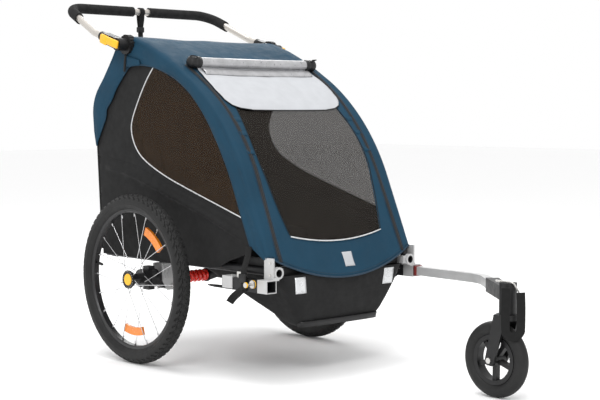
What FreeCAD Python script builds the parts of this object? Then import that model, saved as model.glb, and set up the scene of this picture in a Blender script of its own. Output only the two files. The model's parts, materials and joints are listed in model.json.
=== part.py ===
import FreeCAD, Part
import math
import os
from FreeCAD import Vector as V

# Child bicycle trailer set up as a stroller. Millimetres, +X forward, +Y left, +Z up.
# The model is drawn about the ground point under the main axle and moved at the
# end, so that the origin lies under the centre of the whole object's box.

# --- fits ---
RUN = 0.05              # radial running clearance of a shaft in a hole
GAP = 0.3               # clearance between pieces that move past each other
WALL = 2.0              # wall of the aluminium tubes

# --- width and height that the other places follow ---
HINGE_Y = 262.0         # side tubes that the hoops hinge on
WHEEL_R = 250.0         # 47-406 tyre
TUBE_R = 11.0           # side tubes and hoops

# --- main wheels ---
TYRE_R = 23.5
TYRE_DEPTH = 39.0       # tread to the rim's edge
RIM_DEPTH = 14.0
TRACK_Y = HINGE_Y + 90.5        # wheel centre plane
RIM_OUT_R = WHEEL_R - TYRE_DEPTH
RIM_IN_R = RIM_OUT_R - RIM_DEPTH
RIM_HALF_W = 12.0
SPOKES_PER_SIDE = 10
SPOKE_R = 1.0
HUB_OUT_Y = TRACK_Y + 24.5
HUB_IN_Y = TRACK_Y - 23.5
HUB_R = 15.0
FLANGE_R = 27.0
FLANGE_T = 4.0
AXLE_R = 6.0
BUTTON_R = 17.0
BUTTON_TRAVEL = 4.0

# --- suspension ---
PIVOT_Y = HINGE_Y - 33.0
PIVOT_Z = WHEEL_R - 28.0
PIVOT_BOLT_R = 5.0
CHEEK_IN_X = 20.0
CHEEK_T = 4.0
SPRING_Z = WHEEL_R - 9.0
SPRING_R = 19.0
SPRING_OUT_Y = PIVOT_Y - 17.0
YOKE_END_Y = 84.0
SPRING_COILS = 9
ARM_IN_Y = HINGE_Y + 16.0       # inner end of the swing arm's barrel
AXLE_IN_Y = HINGE_Y + 10.0

# --- base frame ---
BEAM_HALF_X = 20.0
BEAM_BOTTOM = WHEEL_R + 40.0
BEAM_TOP = BEAM_BOTTOM + 26.0
BEAM_HALF_Y = HINGE_Y - 16.0
RAIL_Y = HINGE_Y - 30.0
RAIL_W = 20.0
RAIL_H = 20.0
HINGE_Z = BEAM_TOP - 11.0
HINGE_WALL = 2.0
BARREL_R = TUBE_R + 5.5
REAR_BARREL_R = TUBE_R + 1.4
FRONT_X = 535.0         # front face of the corner brackets
REAR_X = -262.0
BRACKET_LEN = 38.0
RING_LEN = 11.0

# --- tow receivers ---
SOCKET_Y = HINGE_Y + 28.0
SOCKET_Z = BEAM_TOP - 46.0
ARM_SIZE = 25.4
SOCKET_CLEAR = 0.8
RECEIVER_WALL = 2.0
RECEIVER_BACK_X = 345.0
PLATE_TIP_X = 270.0
PIN_X = 478.0
PIN_Z = SOCKET_Z + 4.0
PIN_R = 3.5

# --- side hoops, in the XZ plane ---
FOOT_X = FRONT_X - RING_LEN - TUBE_R - 3.0
FOOT_Z = HINGE_Z + 11.5
HOOP = [(FOOT_X, FOOT_Z), (268.0, FOOT_Z + 554.5), (-128.0, FOOT_Z + 602.5), (-290.0, FOOT_Z + 453.5),
        (REAR_X + 2, FOOT_Z)]
HOOP_BEND = [622.0, 60.0, 80.0]
HOOD_IN = TUBE_R + 2.0  # fabric offsets outside the hoop's centre line
HOOD_T = 3.0
PANEL_Y = HINGE_Y + TUBE_R + 1.5        # inner face of the side fabric
PANEL_T = 2.0
HOOD_HALF_W = PANEL_Y + PANEL_T + 7.5
WINDOW_HALF_W = 205.0

# --- handlebar ---
HUB_X = -118.0
HUB_Z = FOOT_Z + 626.5
SOCKET_DISC_R = 30.0
SOCKET_DISC_IN = PANEL_Y + PANEL_T + 0.5
SOCKET_DISC_OUT = SOCKET_DISC_IN + 19.0
BAR_X = -441.0
BAR_Z = HUB_Z + 128.0
COLLAR_X = -200.0
COLLAR_Z = HUB_Z + 25.0
COLLAR_Y = SOCKET_DISC_OUT + 17.0
COLLAR_T = 31.5         # thickness of the collar arms
BAR_CORNER_Y = COLLAR_Y - 27.0
BAR_R = 11.0
GRIP_R = 16.0
BAR_BEND = 65.0
BAR_END_BEND = 60.0     # where the bar flattens towards its collar
BAR_END_RUN = 64.0

# --- stroller arm and caster ---
ARM_BACK_X = 410.0
ARM_BEND_X = 800.0
ARM_BEND_Y = SOCKET_Y - 14.0
ARM_BEND_R = 110.0
ARM_TAIL = 180.0
SWIVEL_X = 1072.0
CASTER_Y = 45.0
TRAIL = 36.0
CASTER_R = 100.0
CASTER_TUBE_R = 19.0
CASTER_RIM_R = 66.0
STEM_R = 8.0
BARREL_Z0 = SOCKET_Z - 48.0
BARREL_Z1 = SOCKET_Z + 34.0

# --- soft parts ---
ROLLER_R = 15.0
ROLLER_X = 131.0
FLOOR_Z = BEAM_TOP + RAIL_H + 0.2
WELL_TOP_Z = BEAM_BOTTOM + 3.5
WELL_BOTTOM_Z = WELL_TOP_Z - 151.5
WELL_HALF_W = HINGE_Y - 24.0
SEAT_HALF_W = HINGE_Y - 47.0
SHADE_HALF_W = 222.0


def cyl(radius, start, direction, length):
    return Part.makeCylinder(radius, length, start, direction)


def box(x0, x1, y0, y1, z0, z1):
    return Part.makeBox(x1 - x0, y1 - y0, z1 - z0, V(x0, y0, z0))


def ring(r_out, r_in, start, direction, length):
    return cyl(r_out, start, direction, length).cut(cyl(r_in, start, direction, length))


def fuse(shapes):
    result = shapes[0]
    for shape in shapes[1:]:
        result = result.fuse(shape)
    return result.removeSplitter()


def to_left(shape):
    return shape.mirror(V(0, 0, 0), V(0, 1, 0))


def both_sides(shape):
    return Part.Compound([shape, to_left(shape)])


def rounded_edges(points, radii):
    """Straight edges joined by tangent arcs; one radius for each inner point."""
    edges = []
    last = points[0]
    for i, radius in enumerate(radii, start=1):
        before = (points[i] - points[i - 1]).normalize()
        after = (points[i + 1] - points[i]).normalize()
        half = before.getAngle(after) / 2
        reach = radius * math.tan(half)
        start = points[i] - before * reach
        end = points[i] + after * reach
        inward = (after - before).normalize()
        middle = points[i] + inward * (radius / math.cos(half) - radius)
        edges.append(Part.makeLine(last, start))
        edges.append(Part.Arc(start, middle, end).toShape())
        last = end
    edges.append(Part.makeLine(last, points[-1]))
    return edges


def bent_rod(points, radii, radius):
    path = Part.Wire(rounded_edges(points, radii))
    circle = Part.Wire(Part.makeCircle(radius, points[0], points[1] - points[0]))
    return path.makePipeShell([circle], True, False)


def bent_tube(points, radii, radius, wall=WALL):
    return bent_rod(points, radii, radius).cut(bent_rod(points, radii, radius - wall))


def shifted_line(points, radii, offset):
    """A rounded flat line moved sideways, to its right-hand side for a positive offset."""
    count = len(points)
    steps = [(points[i + 1][0] - points[i][0], points[i + 1][1] - points[i][1]) for i in range(count - 1)]
    sizes = [math.hypot(*step) for step in steps]
    units = [(step[0] / size, step[1] / size) for step, size in zip(steps, sizes)]
    right = [(unit[1], -unit[0]) for unit in units]
    moved = [(points[0][0] + offset * right[0][0], points[0][1] + offset * right[0][1])]
    new_radii = []
    for i in range(1, count - 1):
        mix = (right[i - 1][0] + right[i][0], right[i - 1][1] + right[i][1])
        scale = offset / (1 + right[i - 1][0] * right[i][0] + right[i - 1][1] * right[i][1])
        moved.append((points[i][0] + mix[0] * scale, points[i][1] + mix[1] * scale))
        turn = units[i - 1][0] * units[i][1] - units[i - 1][1] * units[i][0]
        new_radii.append(radii[i - 1] + math.copysign(offset, turn * offset) if offset else radii[i - 1])
    moved.append((points[-1][0] + offset * right[-1][0], points[-1][1] + offset * right[-1][1]))
    return moved, new_radii


def strip_face(points, radii, low, high, place):
    """A flat band between two sideways offsets of one rounded line."""
    edge_lists = []
    for offset in (low, high):
        moved, new_radii = shifted_line(points, radii, offset)
        edge_lists.append(rounded_edges([place(p) for p in moved], new_radii))
    first, second = edge_lists
    start = Part.makeLine(second[0].Vertexes[0].Point, first[0].Vertexes[0].Point)
    end = Part.makeLine(first[-1].Vertexes[-1].Point, second[-1].Vertexes[-1].Point)
    wire = Part.Wire(Part.__sortEdges__(first + [end] + second + [start]))
    return Part.Face(wire)


def sheet_xz(points, radii, low, high, y0, y1):
    face = strip_face(points, radii, low, high, lambda p: V(p[0], y0, p[1]))
    return face.extrude(V(0, y1 - y0, 0))


def plate_xz(points, y0, y1):
    wire = Part.makePolygon([V(x, y0, z) for x, z in points + points[:1]])
    return Part.Face(wire).extrude(V(0, y1 - y0, 0))


def plate_yz(points, x0, x1):
    wire = Part.makePolygon([V(x0, y, z) for y, z in points + points[:1]])
    return Part.Face(wire).extrude(V(x1 - x0, 0, 0))


def turned_profile(points, centre):
    """A ring about a Y axis through centre, from (radius, y) points."""
    wire = Part.makePolygon([V(centre.x + r, y, centre.z) for r, y in points + points[:1]])
    return Part.Face(wire).revolve(V(centre.x, 0, centre.z), V(0, 1, 0), 360)


# ---------------------------------------------------------------- main wheels

def wheel_centre():
    return V(0, -TRACK_Y, WHEEL_R)


def rim():
    bed = RIM_OUT_R - 8
    outline = [(RIM_IN_R, -8), (RIM_IN_R, 8), (RIM_IN_R + 3, RIM_HALF_W), (RIM_OUT_R, RIM_HALF_W),
               (RIM_OUT_R, RIM_HALF_W - 1.5), (bed, RIM_HALF_W - 1.5), (bed, 1.5 - RIM_HALF_W),
               (RIM_OUT_R, 1.5 - RIM_HALF_W), (RIM_OUT_R, -RIM_HALF_W), (RIM_IN_R + 3, -RIM_HALF_W)]
    return turned_profile([(r, y - TRACK_Y) for r, y in outline], wheel_centre())


def tyre():
    centre = wheel_centre()
    big = WHEEL_R - TYRE_R
    outer = Part.makeTorus(big, TYRE_R, centre, V(0, 1, 0))
    air = Part.makeTorus(big, TYRE_R - 4, centre, V(0, 1, 0))
    seat = cyl(RIM_OUT_R, centre - V(0, RIM_HALF_W, 0), V(0, 1, 0), 2 * RIM_HALF_W)
    return outer.cut(air).cut(seat)


def hub():
    axis = V(0, 1, 0)
    z = WHEEL_R
    shell = cyl(HUB_R, V(0, -HUB_OUT_Y, z), axis, HUB_OUT_Y - HUB_IN_Y)
    outer_flange = cyl(FLANGE_R, V(0, -HUB_OUT_Y, z), axis, FLANGE_T)
    outer_boss = cyl(FLANGE_R - 5, V(0, -HUB_OUT_Y, z), axis, 3 * FLANGE_T)
    inner_flange = cyl(FLANGE_R, V(0, -HUB_IN_Y - FLANGE_T, z), axis, FLANGE_T)
    recess = cyl(BUTTON_R + 1, V(0, -HUB_OUT_Y, z), axis, 2.5 * FLANGE_T)
    bore = cyl(AXLE_R + RUN, V(0, -HUB_OUT_Y, z), axis, HUB_OUT_Y - HUB_IN_Y)
    return fuse([shell, outer_flange, outer_boss, inner_flange]).cut(recess).cut(bore)


def spokes():
    """Two sets of spokes that lean opposite ways, from each hub flange to the rim."""
    rods = []
    step = 360.0 / SPOKES_PER_SIDE
    start_r = FLANGE_R - 2
    end_r = RIM_IN_R + 2
    flange_faces = ((-HUB_OUT_Y + FLANGE_T + SPOKE_R, -2.0, 0.0), (-HUB_IN_Y - FLANGE_T - SPOKE_R, 2.0, 0.5))
    for flange_y, rim_y, phase in flange_faces:
        for i in range(SPOKES_PER_SIDE):
            angle = math.radians(step * (i + phase))
            lean = math.radians(38 if i % 2 else -38)
            foot = V(start_r * math.cos(angle + lean), flange_y, WHEEL_R + start_r * math.sin(angle + lean))
            head = V(end_r * math.cos(angle), rim_y - TRACK_Y, WHEEL_R + end_r * math.sin(angle))
            rods.append(cyl(SPOKE_R, foot, head - foot, (head - foot).Length))
    return Part.Compound(rods)


def wheel_reflectors():
    """Two curved bars that clip to the spokes near the rim."""
    bars = []
    reach = 2 * RIM_IN_R
    for middle in (53, -91):
        face = ring(RIM_IN_R - 30, RIM_IN_R - 54, V(0, -TRACK_Y - 4, WHEEL_R), V(0, 1, 0), 8)
        first, last = math.radians(middle - 16), math.radians(middle + 16)
        wedge = plate_xz([(0, WHEEL_R), (reach * math.cos(first), WHEEL_R + reach * math.sin(first)),
                          (reach * math.cos(last), WHEEL_R + reach * math.sin(last))],
                         -TRACK_Y - 4, -TRACK_Y + 4)
        bars.append(face.common(wedge).cut(spokes()))
    solids = [solid for bar in bars for solid in bar.Solids]
    return Part.Compound(solids)


def axle():
    axis = V(0, 1, 0)
    head_y = -HUB_OUT_Y + 8
    head = cyl(BUTTON_R, V(0, head_y, WHEEL_R), axis, 1.8)
    shaft = cyl(AXLE_R, V(0, head_y, WHEEL_R), axis, -head_y - AXLE_IN_Y)
    bore = cyl(3 + RUN, V(0, head_y, WHEEL_R), axis, 40)
    return head.fuse(shaft).cut(bore)


def release_button():
    axis = V(0, 1, 0)
    face_y = -HUB_OUT_Y - 2
    cap = cyl(BUTTON_R, V(0, face_y, WHEEL_R), axis, 4.5)
    cap = cap.makeFillet(1.2, [e for e in cap.Edges if e.Curve.TypeId == "Part::GeomCircle"
                               and abs(e.CenterOfMass.y - face_y) < 0.1])
    stem = cyl(3, V(0, face_y + 4, WHEEL_R), axis, 36)
    return cap.fuse(stem)


# ----------------------------------------------------------------- suspension

def swing_arm():
    """Casting that holds the axle, turns on the pivot bolt and presses the spring."""
    axis = V(0, 1, 0)
    inner_y = -ARM_IN_Y
    outer_y = -HUB_IN_Y + 0.5
    barrel = cyl(25, V(0, outer_y, WHEEL_R), axis, inner_y - outer_y)
    lugs = [box(-28, 28, -ARM_IN_Y - 32, -ARM_IN_Y - 16, WHEEL_R - 24, WHEEL_R + 24)]
    for z0, z1 in ((WHEEL_R + 18, WHEEL_R + 35), (WHEEL_R - 35, WHEEL_R - 18)):
        lugs.append(box(-14, 14, -ARM_IN_Y - 34, -ARM_IN_Y - 12, z0, z1))
    half = CHEEK_IN_X - 0.5
    neck = plate_yz([(-ARM_IN_Y - 18, WHEEL_R + 20), (-AXLE_IN_Y, WHEEL_R + 14), (7 - PIVOT_Y, PIVOT_Z + 34),
                     (15 - PIVOT_Y, PIVOT_Z + 34), (15 - PIVOT_Y, PIVOT_Z - 4), (7 - PIVOT_Y, PIVOT_Z - 12),
                     (-PIVOT_Y - 7, PIVOT_Z - 12), (-ARM_IN_Y - 18, WHEEL_R - 20)], -half, half)
    body = fuse([barrel, neck] + lugs)
    body = body.cut(cyl(AXLE_R, V(0, outer_y - 1, WHEEL_R), axis, -AXLE_IN_Y - outer_y + 1))
    return body.cut(cyl(PIVOT_BOLT_R + RUN, V(-half - 1, -PIVOT_Y, PIVOT_Z), V(1, 0, 0), 2 * half + 2))


def pivot_bracket():
    """Clevis under the axle beam: two ribbed cheeks and a top plate."""
    inner, outer, low = 13 - PIVOT_Y, -PIVOT_Y - 39, PIVOT_Z - 12
    outline = [(outer, BEAM_BOTTOM), (outer, low + 30), (outer + 18, low), (inner, low), (inner, BEAM_BOTTOM)]
    parts = []
    for x0 in (CHEEK_IN_X, -CHEEK_IN_X - CHEEK_T):
        parts.append(plate_yz(outline, x0, x0 + CHEEK_T))
        rib_x = x0 + CHEEK_T if x0 > 0 else x0 - 2
        for y0 in (outer + 2, outer + 10, outer + 18):
            parts.append(box(rib_x, rib_x + 2, y0, y0 + 3, low + 36, BEAM_BOTTOM - 6))
    reach = CHEEK_IN_X + CHEEK_T
    parts.append(box(-reach, reach, -BEAM_HALF_Y, inner, BEAM_BOTTOM - 5, BEAM_BOTTOM))
    bolt_hole = cyl(PIVOT_BOLT_R, V(-reach - 3, -PIVOT_Y, PIVOT_Z), V(1, 0, 0), 2 * reach + 6)
    return fuse(parts).cut(bolt_hole)


def pivot_bolt():
    reach = CHEEK_IN_X + CHEEK_T
    shank = cyl(PIVOT_BOLT_R, V(-reach, -PIVOT_Y, PIVOT_Z), V(1, 0, 0), 2 * reach)
    heads = [cyl(8, V(x, -PIVOT_Y, PIVOT_Z), V(1, 0, 0), 4) for x in (reach, -reach - 4)]
    return fuse([shank] + heads)


def suspension_spring():
    """Coil spring drawn as its closed ribbed envelope, between the arm's pad and the yoke."""
    length = SPRING_OUT_Y - YOKE_END_Y
    pitch = length / SPRING_COILS
    core = cyl(SPRING_R - 4, V(0, -SPRING_OUT_Y, SPRING_Z), V(0, 1, 0), length)
    coils = [cyl(SPRING_R, V(0, -SPRING_OUT_Y + (i + 0.2) * pitch, SPRING_Z), V(0, 1, 0), pitch * 0.6)
             for i in range(SPRING_COILS)]
    hollow = cyl(SPRING_R - 8, V(0, -SPRING_OUT_Y, SPRING_Z), V(0, 1, 0), length)
    return fuse([core] + coils).cut(hollow)


def spring_yoke():
    """Central seat of both springs, hung under the axle beam."""
    post = box(-14, 14, -30, 30, SPRING_Z - 14, BEAM_BOTTOM)
    parts = [post]
    for sign in (-1, 1):
        seat = cyl(SPRING_R + 2, V(0, sign * YOKE_END_Y, SPRING_Z), V(0, -sign, 0), 5)
        cone = Part.makeCone(SPRING_R, 9, YOKE_END_Y - 30, V(0, sign * (YOKE_END_Y - 5), SPRING_Z), V(0, -sign, 0))
        parts += [seat, cone]
    return fuse(parts)


# ----------------------------------------------------------------- base frame

def axle_beam():
    outer = box(-BEAM_HALF_X, BEAM_HALF_X, -BEAM_HALF_Y, BEAM_HALF_Y, BEAM_BOTTOM, BEAM_TOP)
    inner = box(-BEAM_HALF_X + WALL, BEAM_HALF_X - WALL, -BEAM_HALF_Y, BEAM_HALF_Y, BEAM_BOTTOM + WALL,
                BEAM_TOP - WALL)
    return outer.cut(inner)


def base_rail():
    y0 = -RAIL_Y - RAIL_W / 2
    outer = box(REAR_X + 4, FRONT_X - BRACKET_LEN, y0, y0 + RAIL_W, BEAM_TOP, BEAM_TOP + RAIL_H)
    inner = box(REAR_X + 4, FRONT_X - BRACKET_LEN, y0 + WALL, y0 + RAIL_W - WALL,
                BEAM_TOP + WALL, BEAM_TOP + RAIL_H - WALL)
    return outer.cut(inner)


def crossbars():
    """Front bar between the corner brackets, rear bar with its two hinge barrels."""
    z0 = BEAM_TOP - 22
    half = HINGE_Y - BARREL_R - 5
    front = box(FRONT_X - 53, FRONT_X - 33, -half, half, z0, BEAM_TOP)
    front = front.cut(box(FRONT_X - 51, FRONT_X - 35, -half, half, z0 + 2, BEAM_TOP - 2))
    rear = box(REAR_X + 4, REAR_X + 24, -half, half, z0, BEAM_TOP)
    rear = rear.cut(box(REAR_X + 6, REAR_X + 22, -half, half, z0 + 2, BEAM_TOP - 2))
    ends = []
    for sign in (-1, 1):
        centre = V(REAR_X + 30, sign * HINGE_Y, HINGE_Z)
        ends.append(ring(REAR_BARREL_R, TUBE_R, centre, V(1, 0, 0), 18))
        y0, y1 = sorted((sign * (HINGE_Y - TUBE_R - 0.4), sign * (half - 12)))
        ends.append(box(REAR_X + 24, REAR_X + 48, y0, y1, z0, BEAM_TOP))
    rear = fuse([rear] + ends)
    return Part.Compound([front, rear])


def corner_bracket():
    """Extruded corner: hinge ring, socket for the tow receiver, upright web and crossbar lug."""
    x0 = FRONT_X - BRACKET_LEN
    half = (ARM_SIZE + 2 * SOCKET_CLEAR) / 2 + RECEIVER_WALL
    outer = half + 2.5
    socket = box(x0, FRONT_X, -SOCKET_Y - outer, -SOCKET_Y + outer, SOCKET_Z - outer, SOCKET_Z + outer)
    top = SOCKET_Z + outer
    web = box(x0, FRONT_X - 2, -HINGE_Y - 21, -HINGE_Y - BARREL_R + 1, top - 3, BEAM_TOP + 30)
    hinge = cyl(BARREL_R, V(FRONT_X - RING_LEN, -HINGE_Y, HINGE_Z), V(1, 0, 0), RING_LEN)
    saddle = box(FRONT_X - RING_LEN, FRONT_X, -HINGE_Y - 21, -HINGE_Y, top - 3, top + 6)
    lug = box(FRONT_X - 33, FRONT_X - RING_LEN + 2, -HINGE_Y + BARREL_R - 4.5,
              -HINGE_Y + BARREL_R + 5.5, BEAM_TOP - 22, BEAM_TOP)
    seat = box(x0, FRONT_X, -SOCKET_Y - half, -SOCKET_Y + half, SOCKET_Z - half, SOCKET_Z + half)
    bore = cyl(TUBE_R, V(x0, -HINGE_Y, HINGE_Z), V(1, 0, 0), BRACKET_LEN)
    return fuse([socket, web, hinge, saddle, lug]).cut(seat).cut(bore)


def hinge_tube():
    start = V(REAR_X, -HINGE_Y, HINGE_Z)
    return ring(TUBE_R, TUBE_R - HINGE_WALL, start, V(1, 0, 0), FRONT_X - 1 - REAR_X)


def hoop_points(offset_y=0.0):
    return [V(x, -HINGE_Y + offset_y, z) for x, z in HOOP]


def side_hoop():
    """Bent tube of the side frame; its feet are cut to sit on the hinge tube."""
    hoop = bent_tube(hoop_points(), HOOP_BEND, TUBE_R, 1.6)
    return hoop.cut(cyl(TUBE_R, V(REAR_X - 40, -HINGE_Y, HINGE_Z), V(1, 0, 0), FRONT_X - REAR_X + 80))


def hoop_solid():
    return bent_rod(hoop_points(), HOOP_BEND, TUBE_R)


def handlebar_socket():
    """Ribbed hub on the hoop's outside, with the pin that the handlebar turns on."""
    axis = V(0, -1, 0)
    saddle = cyl(24, V(HUB_X, -HINGE_Y, HUB_Z), axis, SOCKET_DISC_IN - HINGE_Y)
    disc = cyl(SOCKET_DISC_R, V(HUB_X, -SOCKET_DISC_IN, HUB_Z), axis, SOCKET_DISC_OUT - SOCKET_DISC_IN)
    notches = []
    for i in range(16):
        angle = math.radians(i * 22.5)
        spot = V(HUB_X + SOCKET_DISC_R * math.cos(angle), -SOCKET_DISC_IN, HUB_Z + SOCKET_DISC_R * math.sin(angle))
        notches.append(cyl(2.5, spot, axis, SOCKET_DISC_OUT - SOCKET_DISC_IN))
    pin = cyl(6, V(HUB_X, -SOCKET_DISC_OUT, HUB_Z), axis, 24)
    body = fuse([saddle, disc.cut(Part.Compound(notches)), pin])
    return body.cut(hoop_solid())


def seat_support_bar():
    """Bent bar behind the seat back that ties the two hoops together."""
    reach = HINGE_Y - TUBE_R - 10
    corners = [(-294, -reach), (-215, -reach), (-215, reach), (-294, reach)]
    points = [V(x, y, FOOT_Z + 383.5) for x, y in corners]
    return bent_tube(points, [35, 35], 10)


# -------------------------------------------------------------- tow receivers

def socket_half():
    return (ARM_SIZE + 2 * SOCKET_CLEAR) / 2


def tow_receiver():
    """Black square tube that takes the arm, on a flat tapered plate."""
    inner = socket_half()
    outer = inner + RECEIVER_WALL
    body = box(RECEIVER_BACK_X, FRONT_X - 1, -SOCKET_Y - outer, -SOCKET_Y + outer,
               SOCKET_Z - outer, SOCKET_Z + outer)
    body = body.cut(box(RECEIVER_BACK_X + 10, FRONT_X, -SOCKET_Y - inner, -SOCKET_Y + inner,
                        SOCKET_Z - inner, SOCKET_Z + inner))
    z0 = SOCKET_Z - outer - 3
    back = FRONT_X - BRACKET_LEN - 1
    outline = [(PLATE_TIP_X, -SOCKET_Y - 6), (PLATE_TIP_X + 40, -SOCKET_Y - outer), (back, -SOCKET_Y - outer),
               (back, -SOCKET_Y + outer), (PLATE_TIP_X + 40, -SOCKET_Y + outer), (PLATE_TIP_X, -SOCKET_Y + 6)]
    wire = Part.makePolygon([V(x, y, z0) for x, y in outline + outline[:1]])
    plate = Part.Face(wire).extrude(V(0, 0, 3))
    slot = box(PLATE_TIP_X + 20, PLATE_TIP_X + 48, -SOCKET_Y - 5, -SOCKET_Y + 3, z0, z0 + 3)
    pin_hole = cyl(PIN_R + RUN, V(PIN_X, -SOCKET_Y - 20, PIN_Z), V(0, 1, 0), 40)
    return fuse([body, plate.cut(slot)]).cut(pin_hole)


def receiver_channel():
    """Silver saddle over the back of the receiver."""
    inner = socket_half() + RECEIVER_WALL
    bottom = SOCKET_Z - inner
    block = box(350, 392, -SOCKET_Y - inner - 3, -SOCKET_Y + inner + 3, bottom, SOCKET_Z + inner + 3)
    return block.cut(box(350, 392, -SOCKET_Y - inner, -SOCKET_Y + inner, bottom, SOCKET_Z + inner))


def receiver_pin():
    """Pull pin with an outer knob and an inner collar."""
    wall_y = -SOCKET_Y - socket_half() - RECEIVER_WALL
    shaft = cyl(PIN_R, V(PIN_X, wall_y - 27, PIN_Z), V(0, 1, 0), 60)
    knob = cyl(7, V(PIN_X, wall_y - 30, PIN_Z), V(0, 1, 0), 3.5)
    collar = cyl(11, V(PIN_X, wall_y - 5 - GAP, PIN_Z), V(0, 1, 0), 5)
    return fuse([shaft, knob, collar])


def fasteners():
    """Bracket rivets, receiver bolts with their nuts, and the suspension pivot bolts."""
    web_y = -HINGE_Y - 21
    solids = [pivot_bolt()]
    for z in (BEAM_TOP - 16, BEAM_TOP + 18):
        solids.append(cyl(4, V(FRONT_X - 14, web_y, z), V(0, -1, 0), 2))
    top = SOCKET_Z + socket_half() + RECEIVER_WALL + 3
    solids.append(cyl(3, V(371, -SOCKET_Y, top), V(0, 0, 1), 3))
    nut_top = SOCKET_Z + socket_half() + RECEIVER_WALL
    solids.append(box(402, 424, -SOCKET_Y - 9, -SOCKET_Y + 9, nut_top, nut_top + 17))
    return both_sides(Part.Compound(solids))


# ------------------------------------------------------------------ handlebar

def bar_points():
    slope = (COLLAR_Z - HUB_Z) / (COLLAR_X - HUB_X)
    end_x = COLLAR_X + 14
    bend_x = end_x - BAR_END_RUN
    side = [(end_x, COLLAR_Y, COLLAR_Z + 14 * slope), (bend_x, COLLAR_Y, COLLAR_Z + (bend_x - COLLAR_X) * slope),
            (BAR_X, BAR_CORNER_Y, BAR_Z)]
    return [V(x, -y, z) for x, y, z in side] + [V(x, y, z) for x, y, z in reversed(side)]


def bar_bends():
    return [BAR_END_BEND, BAR_BEND, BAR_BEND, BAR_END_BEND]


def handlebar_tube():
    return bent_tube(bar_points(), bar_bends(), BAR_R, 1.6)


def foam_grips():
    """Two foam sleeves that follow the bar round its corners, with a bare gap between them."""
    sleeve = bent_rod(bar_points(), bar_bends(), GRIP_R).cut(bent_rod(bar_points(), bar_bends(), BAR_R))
    reach = BAR_X + BAR_BEND + 20
    keep = box(BAR_X - 60, reach, -BAR_CORNER_Y - 80, -32, BAR_Z - 90, BAR_Z + 60)
    return both_sides(sleeve.common(keep))


def collar_direction():
    return V(COLLAR_X - HUB_X, 0, COLLAR_Z - HUB_Z).normalize()


def handlebar_collar():
    """Arm from the hub pin to the clamp that grips the end of the bar."""
    along = collar_direction()
    side = V(0, 1, 0).cross(along)
    length = math.hypot(COLLAR_X - HUB_X, COLLAR_Z - HUB_Z)
    start = V(HUB_X, -SOCKET_DISC_OUT - GAP, HUB_Z)
    corners = [start + side * 16, start + side * 14 + along * length,
               start - side * 14 + along * length, start - side * 16]
    arm = Part.Face(Part.makePolygon(corners + corners[:1])).extrude(V(0, -COLLAR_T, 0))
    eye = cyl(19, start, V(0, -1, 0), COLLAR_T)
    first, second = bar_points()[:2]
    way = (second - first).normalize()
    clamp = cyl(BAR_R + 3.5, first - way * 2, way, 30)
    body = fuse([arm, eye, clamp])
    body = body.cut(cyl(BAR_R, first, way, 60))
    return body.cut(cyl(6 + RUN, start + V(0, 1, 0), V(0, -1, 0), 40))


def handlebar_lever():
    """Clamp lever along the outside of the collar arm, hinged at its hub end."""
    along = collar_direction()
    side = V(0, 1, 0).cross(along)
    face_y = -SOCKET_DISC_OUT - GAP - COLLAR_T - GAP
    start = V(HUB_X, face_y, HUB_Z) - along * 16
    tip = start + along * 84
    corners = [start + side * 13, tip + side * 11, tip - side * 11, start - side * 13]
    return Part.Face(Part.makePolygon(corners + corners[:1])).extrude(V(0, -9, 0))


def wrist_strap():
    """Flat loop round the bare middle of the bar, hanging down behind the hood."""
    band = ring(BAR_R + 2.5, BAR_R, V(BAR_X, -11, BAR_Z), V(0, 1, 0), 22)
    tail = box(BAR_X - 1.5, BAR_X + 1.5, -10, 10, BAR_Z - 175, BAR_Z - BAR_R - 1)
    return band.fuse(tail)


# --------------------------------------------------------- stroller arm, caster

def arm_direction():
    return V(SWIVEL_X - ARM_BEND_X, CASTER_Y - ARM_BEND_Y, 0).normalize()


def arm_points():
    way = arm_direction()
    return [(ARM_BACK_X, SOCKET_Y), (ARM_BEND_X, ARM_BEND_Y),
            (ARM_BEND_X + way.x * ARM_TAIL, ARM_BEND_Y + way.y * ARM_TAIL)]


def arm_start():
    return [(ARM_BACK_X, SOCKET_Y), (FRONT_X + 20, SOCKET_Y)] + arm_points()[1:]


def arm_solid(size, z_size):
    points = arm_start()
    z0 = SOCKET_Z - z_size / 2
    face = strip_face(points, [400, ARM_BEND_R], -size / 2, size / 2, lambda p: V(p[0], p[1], z0))
    return face.extrude(V(0, 0, z_size))


def stroller_arm():
    tube = arm_solid(ARM_SIZE, ARM_SIZE).cut(arm_solid(ARM_SIZE - 2 * WALL, ARM_SIZE - 2 * WALL))
    return tube.cut(cyl(PIN_R + RUN, V(PIN_X, SOCKET_Y - 20, PIN_Z), V(0, 1, 0), 40))


def caster_bracket():
    """Clamp on the arm's end that carries the upright swivel barrel."""
    way = arm_direction()
    side = V(-way.y, way.x, 0)
    end = V(arm_points()[-1][0], arm_points()[-1][1], 0)
    start = end - way * 42
    swivel = V(SWIVEL_X, CASTER_Y, 0)
    corners = [start + side * 18, swivel + side * 12, swivel - side * 12, start - side * 18]
    low = [c + V(0, 0, SOCKET_Z - 18) for c in corners]
    beam = Part.Face(Part.makePolygon(low + low[:1])).extrude(V(0, 0, 38))
    cap = cyl(23, V(SWIVEL_X, CASTER_Y, BARREL_Z0), V(0, 0, 1), BARREL_Z1 - BARREL_Z0)
    body = fuse([beam, cap]).cut(arm_solid(ARM_SIZE, ARM_SIZE))
    return body.cut(cyl(STEM_R + RUN, V(SWIVEL_X, CASTER_Y, BARREL_Z0 - 1), V(0, 0, 1), 78))


def caster_axle_x():
    return SWIVEL_X - TRAIL


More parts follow.
